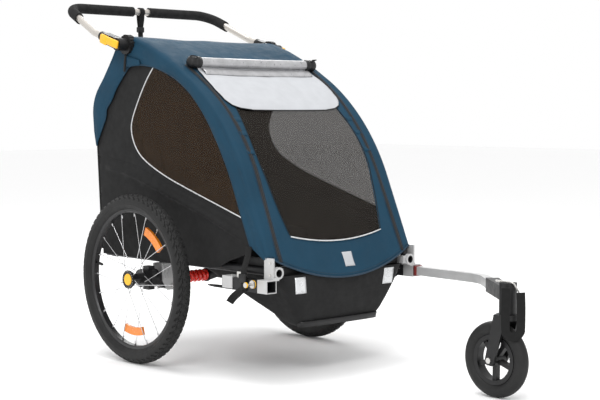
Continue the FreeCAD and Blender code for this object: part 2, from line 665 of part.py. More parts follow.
def caster_fork():
    """Crown, stem and two legs that trail back to the wheel's axle."""
    x = caster_axle_x()
    stem = cyl(STEM_R, V(SWIVEL_X, CASTER_Y, BARREL_Z0 - 6), V(0, 0, 1), 78)
    crown = cyl(32, V(SWIVEL_X, CASTER_Y, BARREL_Z0 - GAP - 14), V(0, 0, 1), 14)
    top = BARREL_Z0 - GAP
    outline = [(SWIVEL_X - 22, top), (SWIVEL_X + 16, top), (SWIVEL_X + 6, top - 40),
               (x + 15, CASTER_R - 4), (x + 7, CASTER_R - 13), (x - 7, CASTER_R - 13), (x - 15, CASTER_R - 4)]
    legs = []
    for y0 in (CASTER_Y - 31, CASTER_Y + 24):
        leg = plate_xz(outline, y0, y0 + 7)
        legs.append(leg.cut(cyl(4, V(x, y0 - 1, CASTER_R), V(0, 1, 0), 9)))
    return fuse([stem, crown] + legs)


def front_axle():
    x = caster_axle_x()
    shaft = cyl(4, V(x, CASTER_Y - 31, CASTER_R), V(0, 1, 0), 62)
    heads = [cyl(7.5, V(x, y, CASTER_R), V(0, 1, 0), 4) for y in (CASTER_Y - 35, CASTER_Y + 31)]
    return fuse([shaft] + heads)


def front_wheel():
    """Moulded five-spoke wheel."""
    x = caster_axle_x()
    centre = V(x, CASTER_Y, CASTER_R)
    axis = V(0, 1, 0)
    boss = cyl(16, centre - V(0, 22, 0), axis, 44)
    band = ring(CASTER_RIM_R, CASTER_RIM_R - 12, centre - V(0, 14, 0), axis, 28)
    arms = []
    for i in range(5):
        arm = box(x - 6, x + 6, CASTER_Y - 8, CASTER_Y + 8, CASTER_R + 12, CASTER_R + CASTER_RIM_R - 8)
        arm.rotate(centre, axis, 72 * i + 180)
        arms.append(arm)
    return fuse([boss, band] + arms).cut(cyl(4 + RUN, centre - V(0, 23, 0), axis, 46))


def front_tyre():
    centre = V(caster_axle_x(), CASTER_Y, CASTER_R)
    big = CASTER_R - CASTER_TUBE_R
    body = Part.makeTorus(big, CASTER_TUBE_R, centre, V(0, 1, 0))
    return body.cut(cyl(CASTER_RIM_R, centre - V(0, 30, 0), V(0, 1, 0), 60))


def hitch_pin():
    """Bent wire keeper through the top of the caster bracket."""
    z = BARREL_Z1 + 3
    points = [V(SWIVEL_X - 30, CASTER_Y - 12, z), V(SWIVEL_X + 26, CASTER_Y - 12, z),
              V(SWIVEL_X + 32, CASTER_Y + 4, z - 26)]
    return bent_rod(points, [8], 2.5)


def hitch_strap():
    """Safety link that hangs in a U from the front of the caster bracket."""
    along = V(0.682, 0.731, 0)
    normal = V(0.731, -0.682, 0)
    top = V(SWIVEL_X + 20, CASTER_Y - 36, BARREL_Z1 - 8)

    def place(p):
        return top + along * p[0] + V(0, 0, p[1])

    line = [(0, 0), (0, -126), (40, -126), (40, -8)]
    face = strip_face(line, [19.5, 19.5], -11, 11, place)
    return face.extrude(normal * 5)


# ----------------------------------------------------------------- soft parts

def point_between(first, second, share):
    return (first[0] + (second[0] - first[0]) * share, first[1] + (second[1] - first[1]) * share)


def hood_line():
    front = point_between(HOOP[0], HOOP[1], 0.068)
    rear = point_between(HOOP[3], HOOP[4], 0.33)
    rise = point_between(HOOP[0], HOOP[1], 0.84)
    peak = (HOOP[2][0] - 2, HUB_Z + 10)
    return [front, rise, peak, HOOP[3], rear]


def window_box(half):
    return box(120, 600, -half, half, FOOT_Z + 81.5, HUB_Z - 30)


def hub_hole(radius):
    """Cutter for the handlebar hubs where they pass through the fabric on both sides."""
    return cyl(radius, V(HUB_X, -HOOD_HALF_W - 1, HUB_Z), V(0, 1, 0), 2 * HOOD_HALF_W + 2)


def hood():
    """Roof sheet over the hoops with side bands, a front apron and the window opening."""
    out = HOOD_IN + HOOD_T
    sheet = sheet_xz(hood_line(), HOOP_BEND, HOOD_IN, out, -HOOD_HALF_W, HOOD_HALF_W)
    sheet = sheet.cut(window_box(WINDOW_HALF_W))
    bands = []
    for y0 in (-HOOD_HALF_W, HOOD_HALF_W - 3):
        bands.append(sheet_xz(hood_line(), HOOP_BEND, -34, out, y0, y0 + 3))
    low = point_between(HOOP[0], HOOP[1], -0.07)
    apron = sheet_xz([low, hood_line()[0]], [], HOOD_IN, out, -232, 232)
    bands = [band.cut(hub_hole(SOCKET_DISC_R + 1)) for band in bands]
    sides = [box(-400, 600, y0, y0 + 26, 0, HUB_Z + 270) for y0 in (-HOOD_HALF_W, HOOD_HALF_W - 26)]
    notched = sheet.cut(hub_hole(SOCKET_DISC_R + 1).common(Part.Compound(sides)))
    return fuse([notched, apron] + bands)


def front_window():
    sheet = sheet_xz(hood_line(), HOOP_BEND, HOOD_IN, HOOD_IN + HOOD_T, -WINDOW_HALF_W, WINDOW_HALF_W)
    return sheet.common(window_box(WINDOW_HALF_W))


def side_outline():
    """Outline of the side fabric, just inside the hood's edge."""
    line, radii = shifted_line(HOOP, HOOP_BEND, 8)
    edges = rounded_edges([V(x, 0, z) for x, z in line], radii)
    start = edges[0].Vertexes[0].Point
    end = edges[-1].Vertexes[-1].Point
    low_front = V(300, 0, BEAM_BOTTOM + 10)
    low_rear = V(end.x, 0, BEAM_BOTTOM + 10)
    edges += [Part.makeLine(end, low_rear), Part.makeLine(low_rear, low_front),
              Part.makeLine(low_front, start)]
    return Part.Face(Part.Wire(Part.__sortEdges__(edges)))


def side_window_cutter():
    """Large rear-side window, rounded at its foot."""
    outline = [(10, 545.5), (-40, 513.5), (-110, 398.5), (-100, 333.5), (-52, 283.5), (70, 230.5), (372, 143.5),
               (350, 243.5), (280, 363.5), (180, 453.5)]
    points = [V(x, 0, FOOT_Z + z) for x, z in outline]
    wire = Part.makePolygon(points + points[:1])
    face = Part.Face(wire)
    solid = face.extrude(V(0, PANEL_T, 0))
    uprights = [e for e in solid.Edges if abs(e.Vertexes[0].Point.y - e.Vertexes[-1].Point.y) > 1]
    return solid.makeFillet(12, uprights)


def side_panel():
    solid = side_outline().extrude(V(0, PANEL_T, 0))
    solid = solid.cut(side_window_cutter())
    solid.translate(V(0, -PANEL_Y - PANEL_T, 0))
    return solid.cut(hub_hole(SOCKET_DISC_R + 1))


def side_window():
    solid = side_window_cutter()
    solid.translate(V(0, -PANEL_Y - PANEL_T, 0))
    return solid


def rear_panel():
    top = point_between(HOOP[3], HOOP[4], 0.335)
    return sheet_xz([top, HOOP[4]], [], HOOD_IN, HOOD_IN + HOOD_T, 2.5 - PANEL_Y, PANEL_Y - 2.5)


def floor_tub():
    """Seat floor on the rails, and the footwell that hangs between them in front."""
    half_floor, half_gap = RAIL_Y + 12, RAIL_Y - 14
    floor = box(REAR_X + 8, 470, -half_floor, half_floor, FLOOR_Z, FLOOR_Z + 3)
    floor = floor.cut(box(178, 470, -half_gap, half_gap, FLOOR_Z, FLOOR_Z + 3))

    def rectangle(x0, x1, half, z):
        points = [V(x0, -half, z), V(x1, -half, z), V(x1, half, z), V(x0, half, z)]
        return Part.makePolygon(points + points[:1])

    front = FRONT_X - 8
    outer = Part.makeLoft([rectangle(176, front, WELL_HALF_W, WELL_TOP_Z),
                           rectangle(front - 72, front - 29, WELL_HALF_W - 86, WELL_BOTTOM_Z)], True)
    inner = Part.makeLoft([rectangle(179, front - 3, WELL_HALF_W - 3, WELL_TOP_Z),
                           rectangle(front - 69, front - 32, WELL_HALF_W - 89, WELL_BOTTOM_Z + 3)], True)
    well = outer.cut(inner)
    back_wall = box(174, 177, -half_gap, half_gap, WELL_TOP_Z - 4, FLOOR_Z + 3)
    return fuse([floor, back_wall, well])


def seat_base():
    cushion = box(-62, 172, -SEAT_HALF_W, SEAT_HALF_W, FLOOR_Z + 3.2, FLOOR_Z + 46)
    return cushion.makeFillet(12, [e for e in cushion.Edges if e.BoundBox.ZMin > FLOOR_Z + 40])


def seat_back_frame():
    """Lower front edge of the back cushion and the direction it rises in."""
    return V(-66, 0, FLOOR_Z + 48), V(-110, 0, 405).normalize()


def seat_back():
    foot, up = seat_back_frame()
    back = V(-up.z, 0, up.x)
    low = foot + V(0, -SEAT_HALF_W, 0)
    corners = [low, low + up * 420, low + up * 420 + back * 34, low + back * 34]
    return Part.Face(Part.makePolygon(corners + corners[:1])).extrude(V(0, 2 * SEAT_HALF_W, 0))


def harness():
    """Shoulder and lap straps of both seats, lying on the back cushion."""
    foot, up = seat_back_frame()
    front = V(up.z, 0, -up.x)
    straps = []
    for middle in (-108, 108):
        for offset in (-50, 28):
            low = foot + V(0, middle + offset, 0) + up * 70 + front * 0.3
            corners = [low, low + up * 290, low + up * 290 + front * 2.5, low + front * 2.5]
            straps.append(Part.Face(Part.makePolygon(corners + corners[:1])).extrude(V(0, 22, 0)))
        low = foot + V(0, middle - 60, 0) + up * 30 + front * 0.3
        corners = [low, low + up * 26, low + up * 26 + front * 6, low + front * 6]
        straps.append(Part.Face(Part.makePolygon(corners + corners[:1])).extrude(V(0, 120, 0)))
    return Part.Compound(straps)


def roller_centre():
    """Point above the roof where the rolled sunshade clears the fabric."""
    line, radii = shifted_line(hood_line(), HOOP_BEND, HOOD_IN + HOOD_T + ROLLER_R + 3.5)
    upper = Part.Wire(rounded_edges([V(x, 0, z) for x, z in line], radii))
    upright = Part.makeLine(V(ROLLER_X, 0, HUB_Z - 330), V(ROLLER_X, 0, HUB_Z + 270))
    return upright.distToShape(upper)[1][0][0]


def sunshade_roller():
    centre = roller_centre()
    half = SHADE_HALF_W - 10
    parts = [cyl(ROLLER_R, centre - V(0, half, 0), V(0, 1, 0), 2 * half)]
    for sign in (-1, 1):
        parts.append(cyl(ROLLER_R + 3, centre + V(0, sign * half, 0), V(0, sign, 0), 44))
    return fuse(parts)


def sunshade():
    out = HOOD_IN + HOOD_T
    sheet = sheet_xz(hood_line(), HOOP_BEND, out + 1, out + 3, -SHADE_HALF_W, SHADE_HALF_W)
    return sheet.common(box(ROLLER_X + 15, 306, -SHADE_HALF_W, SHADE_HALF_W, HUB_Z - 330, HUB_Z - 30))


def webbing():
    """Strap from the hood's corner round the receiver, with a loose tail behind it."""
    y0 = -SOCKET_Y - socket_half() - RECEIVER_WALL - 2.4
    upright = box(430, 452, y0, y0 + 2, SOCKET_Z - 18, BEAM_TOP + 56)
    tail = box(405, 425, y0, y0 + 2, SOCKET_Z - 56, SOCKET_Z - 20)
    tail.rotate(V(415, y0, SOCKET_Z - 20), V(0, 1, 0), 24)
    return both_sides(Part.Compound([upright, tail]))


def right_side_pieces():
    """Pieces that stand on each side in nodes of their own."""
    return {
        "tyre": tyre(), "rim": rim(), "spokes": spokes(), "hub": hub(),
        "wheel_reflectors": wheel_reflectors(), "axle": axle(), "release_button": release_button(),
        "swing_arm": swing_arm(), "suspension_spring": suspension_spring(), "side_hoop": side_hoop(),
        "receiver_pin": receiver_pin(), "handlebar_lever": handlebar_lever(),
    }


def all_pieces():
    pieces = {}
    for name, shape in right_side_pieces().items():
        pieces[name + "_right"] = shape
        pieces[name + "_left"] = to_left(shape)
    pieces.update({
        "pivot_brackets": both_sides(pivot_bracket()), "spring_yoke": spring_yoke(),
        "axle_beam": axle_beam(), "base_rails": both_sides(base_rail()), "crossbars": crossbars(),
        "corner_brackets": both_sides(corner_bracket()), "hinge_tubes": both_sides(hinge_tube()),
        "handlebar_sockets": both_sides(handlebar_socket()), "seat_support_bar": seat_support_bar(),
        "tow_receivers": both_sides(tow_receiver()), "receiver_channels": both_sides(receiver_channel()),
        "fasteners": fasteners(), "handlebar_tube": handlebar_tube(), "foam_grips": foam_grips(),
        "handlebar_collars": both_sides(handlebar_collar()), "wrist_strap": wrist_strap(),
        "stroller_arm": stroller_arm(), "caster_bracket": caster_bracket(), "caster_fork": caster_fork(),
        "front_tyre": front_tyre(), "front_wheel": front_wheel(), "front_axle": front_axle(),
        "hitch_pin": hitch_pin(), "hitch_strap": hitch_strap(), "hood": hood(),
        "front_window": front_window(), "side_panels": both_sides(side_panel()),
        "side_windows": both_sides(side_window()), "rear_panel": rear_panel(), "floor_tub": floor_tub(),
        "seat_base": seat_base(), "seat_back": seat_back(), "harness": harness(),
        "sunshade_roller": sunshade_roller(), "sunshade": sunshade(), "webbing": webbing(),
    })
    return pieces


def box_centre_x():
    """Middle of the object's length, from the front tyre to the grips."""
    return (caster_axle_x() + CASTER_R + BAR_X - GRIP_R) / 2


def main():
    os.makedirs("parts", exist_ok=True)
    for name, shape in all_pieces().items():
        shape.translate(V(-box_centre_x(), 0, 0))
        shape.exportStep("parts/" + name + ".step")


if __name__ == "__main__":
    main()
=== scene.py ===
import json
import math

import bmesh
import bpy
import numpy as np
from mathutils import Matrix, Vector, noise
from mathutils.geometry import delaunay_2d_cdt


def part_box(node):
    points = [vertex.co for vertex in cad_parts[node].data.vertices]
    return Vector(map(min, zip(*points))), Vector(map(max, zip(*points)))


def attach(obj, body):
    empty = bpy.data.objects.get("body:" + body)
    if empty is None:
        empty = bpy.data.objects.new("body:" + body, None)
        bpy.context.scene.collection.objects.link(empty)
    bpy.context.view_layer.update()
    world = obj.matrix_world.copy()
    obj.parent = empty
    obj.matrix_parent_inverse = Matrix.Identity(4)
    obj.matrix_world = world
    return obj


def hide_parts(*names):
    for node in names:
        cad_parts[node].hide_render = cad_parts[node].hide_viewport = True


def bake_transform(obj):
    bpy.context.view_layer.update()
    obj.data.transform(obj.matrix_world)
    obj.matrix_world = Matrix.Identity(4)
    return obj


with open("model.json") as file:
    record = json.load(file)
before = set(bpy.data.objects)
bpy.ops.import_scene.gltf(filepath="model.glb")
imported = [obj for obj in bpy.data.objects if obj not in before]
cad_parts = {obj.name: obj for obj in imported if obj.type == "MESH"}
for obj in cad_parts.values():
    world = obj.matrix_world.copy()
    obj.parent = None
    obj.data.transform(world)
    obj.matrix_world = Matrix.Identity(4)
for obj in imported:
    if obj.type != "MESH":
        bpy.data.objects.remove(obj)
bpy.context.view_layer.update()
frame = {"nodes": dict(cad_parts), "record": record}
NODES = frame["nodes"]

# Lengths are in metres. Places are given from the ground point under the main axle,
# +X forward, +Y left, +Z up; AX moves them into the model's own frame.
_lo, _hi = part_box("axle_beam")
AX = (_lo.x + _hi.x) / 2


def P(x, y, z):
    return Vector((x + AX, y, z))


# ------------------------------------------------------------------ materials

def material(name, color, rough=0.5, metal=0.0, mottle=0.1, mottle_scale=18.0, kind="noise", bump=0.2,
             bump_scale=300.0, depth=0.0003, alpha=1.0, coat=0.0, sheen=0.0, wear=0.0, fold=0.0, spec=0.5):
    """Principled material with colour variation, roughness variation and a fine relief."""
    mat = bpy.data.materials.new(name)
    mat.use_nodes = True
    tree = mat.node_tree
    nodes, links = tree.nodes, tree.links
    nodes.clear()
    out = nodes.new("ShaderNodeOutputMaterial")
    bsdf = nodes.new("ShaderNodeBsdfPrincipled")
    links.new(bsdf.outputs[0], out.inputs[0])
    bsdf.inputs["Metallic"].default_value = metal
    bsdf.inputs["Alpha"].default_value = alpha
    bsdf.inputs["Coat Weight"].default_value = coat
    bsdf.inputs["Sheen Weight"].default_value = sheen
    bsdf.inputs["Specular IOR Level"].default_value = spec
    coord = nodes.new("ShaderNodeTexCoord").outputs["Object"]

    def tex(scale, detail=3.0):
        node = nodes.new("ShaderNodeTexNoise")
        node.inputs["Scale"].default_value = scale
        node.inputs["Detail"].default_value = detail
        links.new(coord, node.inputs["Vector"])
        return node.outputs["Fac"]

    def math_node(op, a, b):
        node = nodes.new("ShaderNodeMath")
        node.operation = op
        for socket, value in zip(node.inputs, (a, b)):
            if isinstance(value, (int, float)):
                socket.default_value = value
            else:
                links.new(value, socket)
        return node.outputs[0]

    def ranged(value, low, high, from_low=0.3, from_high=0.7):
        node = nodes.new("ShaderNodeMapRange")
        links.new(value, node.inputs["Value"])
        node.inputs["From Min"].default_value = from_low
        node.inputs["From Max"].default_value = from_high
        node.inputs["To Min"].default_value = low
        node.inputs["To Max"].default_value = high
        return node.outputs[0]

    def band(axis, scale):
        node = nodes.new("ShaderNodeTexWave")
        node.bands_direction = axis
        node.inputs["Scale"].default_value = scale
        node.inputs["Distortion"].default_value = 0.4
        links.new(coord, node.inputs["Vector"])
        return node.outputs["Fac"]

    mix = nodes.new("ShaderNodeMix")
    mix.data_type = "RGBA"
    mix.inputs["A"].default_value = [c * (1 - mottle) for c in color] + [1]
    mix.inputs["B"].default_value = [min(1, c * (1 + mottle)) for c in color] + [1]
    broad = ranged(tex(mottle_scale), 0, 1)
    if kind in ("weave", "mesh"):
        threads = math_node("ADD", band("X", bump_scale), math_node("ADD", band("Y", bump_scale),
                                                                    band("Z", bump_scale)))
        relief = math_node("MULTIPLY", threads, 0.34)
        broad = math_node("ADD", math_node("MULTIPLY", broad, 0.6), math_node("MULTIPLY", relief, 0.45))
    elif kind == "brushed":
        relief = math_node("ADD", band("Y", bump_scale), tex(bump_scale * 3))
    else:
        relief = tex(bump_scale)
    links.new(broad, mix.inputs["Factor"])
    base = mix.outputs["Result"]
    if wear:
        scuffs = nodes.new("ShaderNodeMix")
        scuffs.data_type = "RGBA"
        links.new(base, scuffs.inputs["A"])
        scuffs.inputs["B"].default_value = [min(1, c * 2.2 + 0.05) for c in color] + [1]
        links.new(math_node("MULTIPLY", ranged(tex(120, 6), 0, 1, 0.62, 0.75), wear), scuffs.inputs["Factor"])
        base = scuffs.outputs["Result"]
    links.new(base, bsdf.inputs["Base Color"])
    links.new(ranged(tex(mottle_scale * 4), max(0.02, rough - 0.08), min(1, rough + 0.08)),
              bsdf.inputs["Roughness"])
    fine = nodes.new("ShaderNodeBump")
    fine.inputs["Strength"].default_value = bump
    fine.inputs["Distance"].default_value = depth
    links.new(relief, fine.inputs["Height"])
    if fold:
        folds = nodes.new("ShaderNodeBump")
        folds.inputs["Strength"].default_value = fold
        folds.inputs["Distance"].default_value = 0.004
        links.new(tex(22, 2), folds.inputs["Height"])
        links.new(folds.outputs[0], fine.inputs["Normal"])
    links.new(fine.outputs[0], bsdf.inputs["Normal"])
    return mat


BLUE = (0.010, 0.043, 0.076)
M = {
    "tyre_rubber": material("tyre rubber", (0.012, 0.012, 0.012), 0.6, bump_scale=500, bump=0.35, mottle=0.25,
                            spec=0.3),
    "rim_black": material("black anodised rim", (0.020, 0.020, 0.021), 0.36, 0.2, bump_scale=900, bump=0.08),
    "spoke_steel": material("drawn spoke wire", (0.62, 0.62, 0.63), 0.28, 1.0, bump_scale=900, bump=0.05),
    "hub_black": material("black hub shell", (0.02, 0.02, 0.021), 0.32, 0.4, bump_scale=600, bump=0.08,
                          coat=0.3),
    "reflector_amber": material("amber reflector", (0.80, 0.22, 0.006), 0.22, bump_scale=420, bump=0.5,
                                depth=0.0005,
                                kind="weave", mottle=0.2, coat=0.6),
    "bright_steel": material("zinc plated steel", (0.58, 0.57, 0.55), 0.3, 1.0, bump_scale=500, bump=0.1,
                             wear=0.3),
    "yellow_plastic": material("yellow plastic", (0.87, 0.46, 0.012), 0.36, bump_scale=700, bump=0.06,
                               mottle=0.05),
    "casting_black": material("black casting", (0.012, 0.012, 0.013), 0.42, 0.2, bump_scale=700, bump=0.3,
                              wear=0.1),
    "spring_red": material("red spring", (0.86, 0.034, 0.020), 0.28, bump_scale=500, bump=0.08, coat=0.6),
    "frame_black": material("black powder coat", (0.010, 0.010, 0.011), 0.42, bump_scale=900, bump=0.15,
                            spec=0.35),
    "frame_aluminium": material("satin aluminium", (0.50, 0.50, 0.50), 0.40, 0.35, kind="brushed",
                                bump_scale=260,
                                bump=0.10, mottle=0.06),
    "bar_aluminium": material("warm anodised bar", (0.56, 0.53, 0.49), 0.38, 0.7, bump_scale=700, bump=0.05,
                              mottle=0.04),
    "plastic_black": material("black moulded plastic", (0.009, 0.009, 0.0095), 0.45, bump_scale=800, bump=0.2,
                              spec=0.35),
    "foam_black": material("closed cell foam", (0.017, 0.017, 0.017), 0.92, spec=0.2, bump_scale=420,
                           bump=0.6, depth=0.0005,
                           mottle=0.25, mottle_scale=60),
    "webbing_black": material("black webbing", (0.009, 0.009, 0.009), 0.8, kind="weave", bump_scale=150,
                              bump=0.7,
                              depth=0.0006, sheen=0.03, spec=0.2),
    "fabric_blue": material("blue coated cloth", BLUE, 0.68, kind="weave", bump_scale=210, bump=0.35,
                            mottle=0.16,
                            mottle_scale=9, fold=0.5, spec=0.14),
    "fabric_black": material("black coated cloth", (0.011, 0.011, 0.0112), 0.76, kind="weave", bump_scale=200,
                             bump=0.4, mottle=0.2, mottle_scale=12, sheen=0.02, fold=0.5, spec=0.2),
    "window_film": material("tinted window film", (0.034, 0.020, 0.010), 0.20, bump_scale=9, bump=0.10,
                            depth=0.002,
                            alpha=0.48, mottle=0.1, spec=0.12),
    "seat_cloth": material("padded seat cloth", (0.015, 0.015, 0.016), 0.85, kind="weave", bump_scale=120,
                           bump=0.6,
                           depth=0.0006, sheen=0.05, spec=0.2),
    "shade_cloth": material("light sunshade cloth", (0.46, 0.47, 0.49), 0.62, kind="weave", bump_scale=160,
                            bump=0.3,
                            mottle=0.06, mottle_scale=30, fold=0.6, spec=0.2),
    "shade_roll": material("silver sunshade backing", (0.40, 0.40, 0.41), 0.34, 0.45, bump_scale=60, bump=0.3,
                           depth=0.001, mottle=0.12, mottle_scale=40),
    "mesh_screen": material("front screen", (0.030, 0.026, 0.022), 0.75, kind="weave", bump_scale=260,
                            bump=0.2,
                            alpha=0.38, mottle=0.08, spec=0.12),
    "reflective": material("reflective tape", (0.62, 0.63, 0.64), 0.3, 0.35, kind="weave", bump_scale=300,
                           bump=0.3,
                           mottle=0.1),
    "zip_grey": material("zip tape", (0.030, 0.031, 0.033), 0.75, spec=0.2, kind="weave", bump_scale=240,
                         bump=0.6),
    "thread_blue": material("hem thread", (0.012, 0.034, 0.06), 0.8, bump_scale=500, bump=0.4),
    "dark_red": material("dark red insert", (0.16, 0.012, 0.010), 0.4, bump_scale=600, bump=0.1),
}
for name, node in NODES.items():
    entry = next(s for s in frame["record"]["subparts"] if s["node"] == name)
    chosen = "bar_aluminium" if name == "handlebar_tube" else entry["material_slot"]
    node.data.materials.clear()
    node.data.materials.append(M[chosen])


# -------------------------------------------------------------------- helpers

def add(name, verts, faces, mat, slot=None, body="frame", smooth=True, thick=0.0, sub=0):
    mesh = bpy.data.meshes.new(name)
    mesh.from_pydata([tuple(v) for v in verts], [], [tuple(int(i) for i in f) for f in faces])
    mesh.update()
    obj = bpy.data.objects.new(name, mesh)
    bpy.context.scene.collection.objects.link(obj)
    mesh.materials.append(M[mat])
    if smooth:
        mesh.polygons.foreach_set("use_smooth", [True] * len(mesh.polygons))
    if thick:
        solid = obj.modifiers.new("thickness", "SOLIDIFY")
        solid.thickness = thick
        solid.offset = 0
    if sub:
        level = obj.modifiers.new("subdivision", "SUBSURF")
        level.levels = level.render_levels = sub
    if body:
        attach(obj, body)
    return obj


def join_lists(parts):
    verts, faces = [], []
    for v, f in parts:
        base = len(verts)
        verts += list(v)
        faces += [[i + base for i in face] for face in f]
    return verts, faces


def grid(rows, loop_u=False, loop_v=False, skip=None):
    """Quad faces over a list of equal rows of points."""
    n, m = len(rows), len(rows[0])
    verts = [p for row in rows for p in row]
    faces = []
    for i in range(n if loop_v else n - 1):
        for j in range(m if loop_u else m - 1):
            if skip and skip(i, j):
                continue
            a, b = i * m + j, i * m + (j + 1) % m
            c, d = ((i + 1) % n) * m + (j + 1) % m, ((i + 1) % n) * m + j
            faces.append((a, b, c, d))
    return verts, faces


def frame_along(points):
    """Tangents and steady side vectors along a line of points."""
    points = [Vector(p) for p in points]
    tangents = []
    for i in range(len(points)):
        a, b = points[max(0, i - 1)], points[min(len(points) - 1, i + 1)]
        tangents.append((b - a).normalized())
    side = tangents[0].orthogonal().normalized()
    sides = []
    for t in tangents:
        side = (side - t * side.dot(t)).normalized()
        sides.append(side)
    return points, tangents, sides


def tube_mesh(points, radius, count=10, caps=True, closed=False):
    points, tangents, sides = frame_along(points)
    rows = []
    for k, (p, t, s) in enumerate(zip(points, tangents, sides)):
        r = radius[k] if isinstance(radius, (list, tuple)) else radius
        up = t.cross(s)
        rows.append([p + (s * math.cos(a) + up * math.sin(a)) * r
                     for a in np.linspace(0, 2 * math.pi, count, endpoint=False)])
    verts, faces = grid(rows, loop_u=True, loop_v=closed)
    if caps and not closed:
        verts += [points[0], points[-1]]
        last = (len(rows) - 1) * count
        for j in range(count):
            faces.append((len(verts) - 2, (j + 1) % count, j))
            faces.append((len(verts) - 1, last + j, last + (j + 1) % count))
    return verts, faces


def tube(name, points, radius, mat, slot=None, body="frame", count=10):
    verts, faces = tube_mesh(points, radius, count)
    return add(name, verts, faces, mat, slot, body)


def smooth_line(points, steps=8):
    """Catmull-Rom line through points."""
    pts = [Vector(p) for p in points]
    pts = [pts[0] * 2 - pts[1]] + pts + [pts[-1] * 2 - pts[-2]]
    line = []
    for i in range(1, len(pts) - 2):
        p0, p1, p2, p3 = pts[i - 1:i + 3]
        for t in np.linspace(0, 1, steps, endpoint=False):
            line.append(0.5 * (2 * p1 + (p2 - p0) * t + (2 * p0 - 5 * p1 + 4 * p2 - p3) * t ** 2
                               + (3 * p1 - p0 - 3 * p2 + p3) * t ** 3))
    line.append(pts[-2])
    return line


def ribbon_mesh(points, across, width, thick):
    """Flat strap: points along it, one direction across it for each point, width and thickness."""
    points = [Vector(p) for p in points]
    rows = []
    for i, p in enumerate(points):
        a, b = points[max(0, i - 1)], points[min(len(points) - 1, i + 1)]
        t = (b - a).normalized()
        w = Vector(across[i] if isinstance(across, list) else across)
        w = (w - t * w.dot(t)).normalized()
        n = t.cross(w)
        rows.append([p + w * width * s * 0.5 + n * thick * h * 0.5
                     for s, h in ((-1, -.6), (-.96, -1), (.96, -1), (1, -.6), (1, .6), (.96, 1), (-.96, 1),
                                  (-1, .6))])
    verts, faces = grid(rows, loop_u=True)
    last = (len(rows) - 1) * 8
    faces += [tuple(range(7, -1, -1)), tuple(last + k for k in range(8))]
    return verts, faces


def ribbon(name, points, across, width, thick, mat, slot=None, body="frame"):
    verts, faces = ribbon_mesh(points, across, width, thick)
    return add(name, verts, faces, mat, slot, body)


def wobble(a, b, c=0.0, seed=0.0):
    return noise.noise(Vector((a + seed * 7.3, b + seed * 3.1, c)))


def table(x, pairs):
    xs, ys = zip(*pairs)
    return float(np.interp(x, xs, ys))


def rounded_box(lo, hi, r, seg=3):
    """Box with rounded edges, as verts and faces."""
    bm = bmesh.new()
    bmesh.ops.create_cube(bm, size=1)
    lo, hi = Vector(lo), Vector(hi)
    for v in bm.verts:
        v.co = Vector(((lo[k] + hi[k]) / 2 + v.co[k] * (hi[k] - lo[k]) for k in range(3)))
    bmesh.ops.bevel(bm, geom=bm.edges[:], offset=r, segments=seg, profile=0.5, affect="EDGES")
    bm.verts.index_update()
    data = [v.co.copy() for v in bm.verts], [[v.index for v in f.verts] for f in bm.faces]
    bm.free()
    return data


def bar_between(p0, p1, half, r, seg=3):
    """Rounded bar from p0 to p1 in a plane of constant y; half = (half height, half thickness)."""
    p0, p1 = Vector(p0), Vector(p1)
    length = (p1 - p0).length
    verts, faces = rounded_box((0, -half[1], -half[0]), (length, half[1], half[0]), r, seg)
    x = (p1 - p0).normalized()
    y = Vector((0, 1, 0))
    z = x.cross(y)
    m = Matrix((x, y, z)).transposed()
    return [p0 + m @ v for v in verts], faces


# ------------------------------------------------------------------ hoop line

HOOP = [(0.510, 0.3165), (0.268, 0.871), (-0.128, 0.919), (-0.290, 0.770), (-0.260, 0.3165)]
BENDS = [0.622, 0.060, 0.080]


def sampled_hoop(step=0.004):
    pts = [np.array(p) for p in HOOP]
    pts[0] = pts[0] + (pts[0] - pts[1]) * 0.12
    line, last = [], pts[0]
    for i, r in enumerate(BENDS, 1):
        a = (pts[i] - pts[i - 1]) / np.linalg.norm(pts[i] - pts[i - 1])
        b = (pts[i + 1] - pts[i]) / np.linalg.norm(pts[i + 1] - pts[i])
        th = math.acos(float(a @ b))
        start, end = pts[i] - a * r * math.tan(th / 2), pts[i] + b * r * math.tan(th / 2)
        n = (b - a) / np.linalg.norm(b - a)
        c = pts[i] + n * r / math.cos(th / 2)
        for t in np.linspace(0, 1, max(2, int(np.linalg.norm(start - last) / step)), endpoint=False):
            line.append(last + (start - last) * t)
        a0, a1 = math.atan2(*(start - c)[::-1]), math.atan2(*(end - c)[::-1])
        d = (a1 - a0 + math.pi) % (2 * math.pi) - math.pi
        for t in np.linspace(0, 1, max(4, int(r * th / step)), endpoint=False):
            line.append(c + r * np.array([math.cos(a0 + d * t), math.sin(a0 + d * t)]))
        last = end
    for t in np.linspace(0, 1, int(np.linalg.norm(pts[-1] - last) / step)):
        line.append(last + (pts[-1] - last) * t)
    return np.array(line)


LINE = sampled_hoop()
TAN = np.gradient(LINE, axis=0)
TAN /= np.linalg.norm(TAN, axis=1)[:, None]
OUTWARD = np.stack([TAN[:, 1], -TAN[:, 0]], 1)
ARC = np.concatenate([[0], np.cumsum(np.linalg.norm(np.diff(LINE, axis=0), axis=1))])
ARC -= float(np.interp(HOOP[0][1], LINE[:80, 1], ARC[:80]))
S_END = float(ARC[-1])


def hoop_at(s, off):
    """(x, z) at distance s along the hoop from its front foot, off outside its centre line."""
    x, z = np.interp(s, ARC, LINE[:, 0]), np.interp(s, ARC, LINE[:, 1])
    nx, nz = np.interp(s, ARC, OUTWARD[:, 0]), np.interp(s, ARC, OUTWARD[:, 1])
    size = math.hypot(nx, nz)
    return float(x + nx / size * off), float(z + nz / size * off)


def on_hood(s, y, off):
    x, z = hoop_at(s, off)
    return P(x, y, z)


# ----------------------------------------------------------------------- hood

HALF_W = 0.2838
CORNER = 0.012
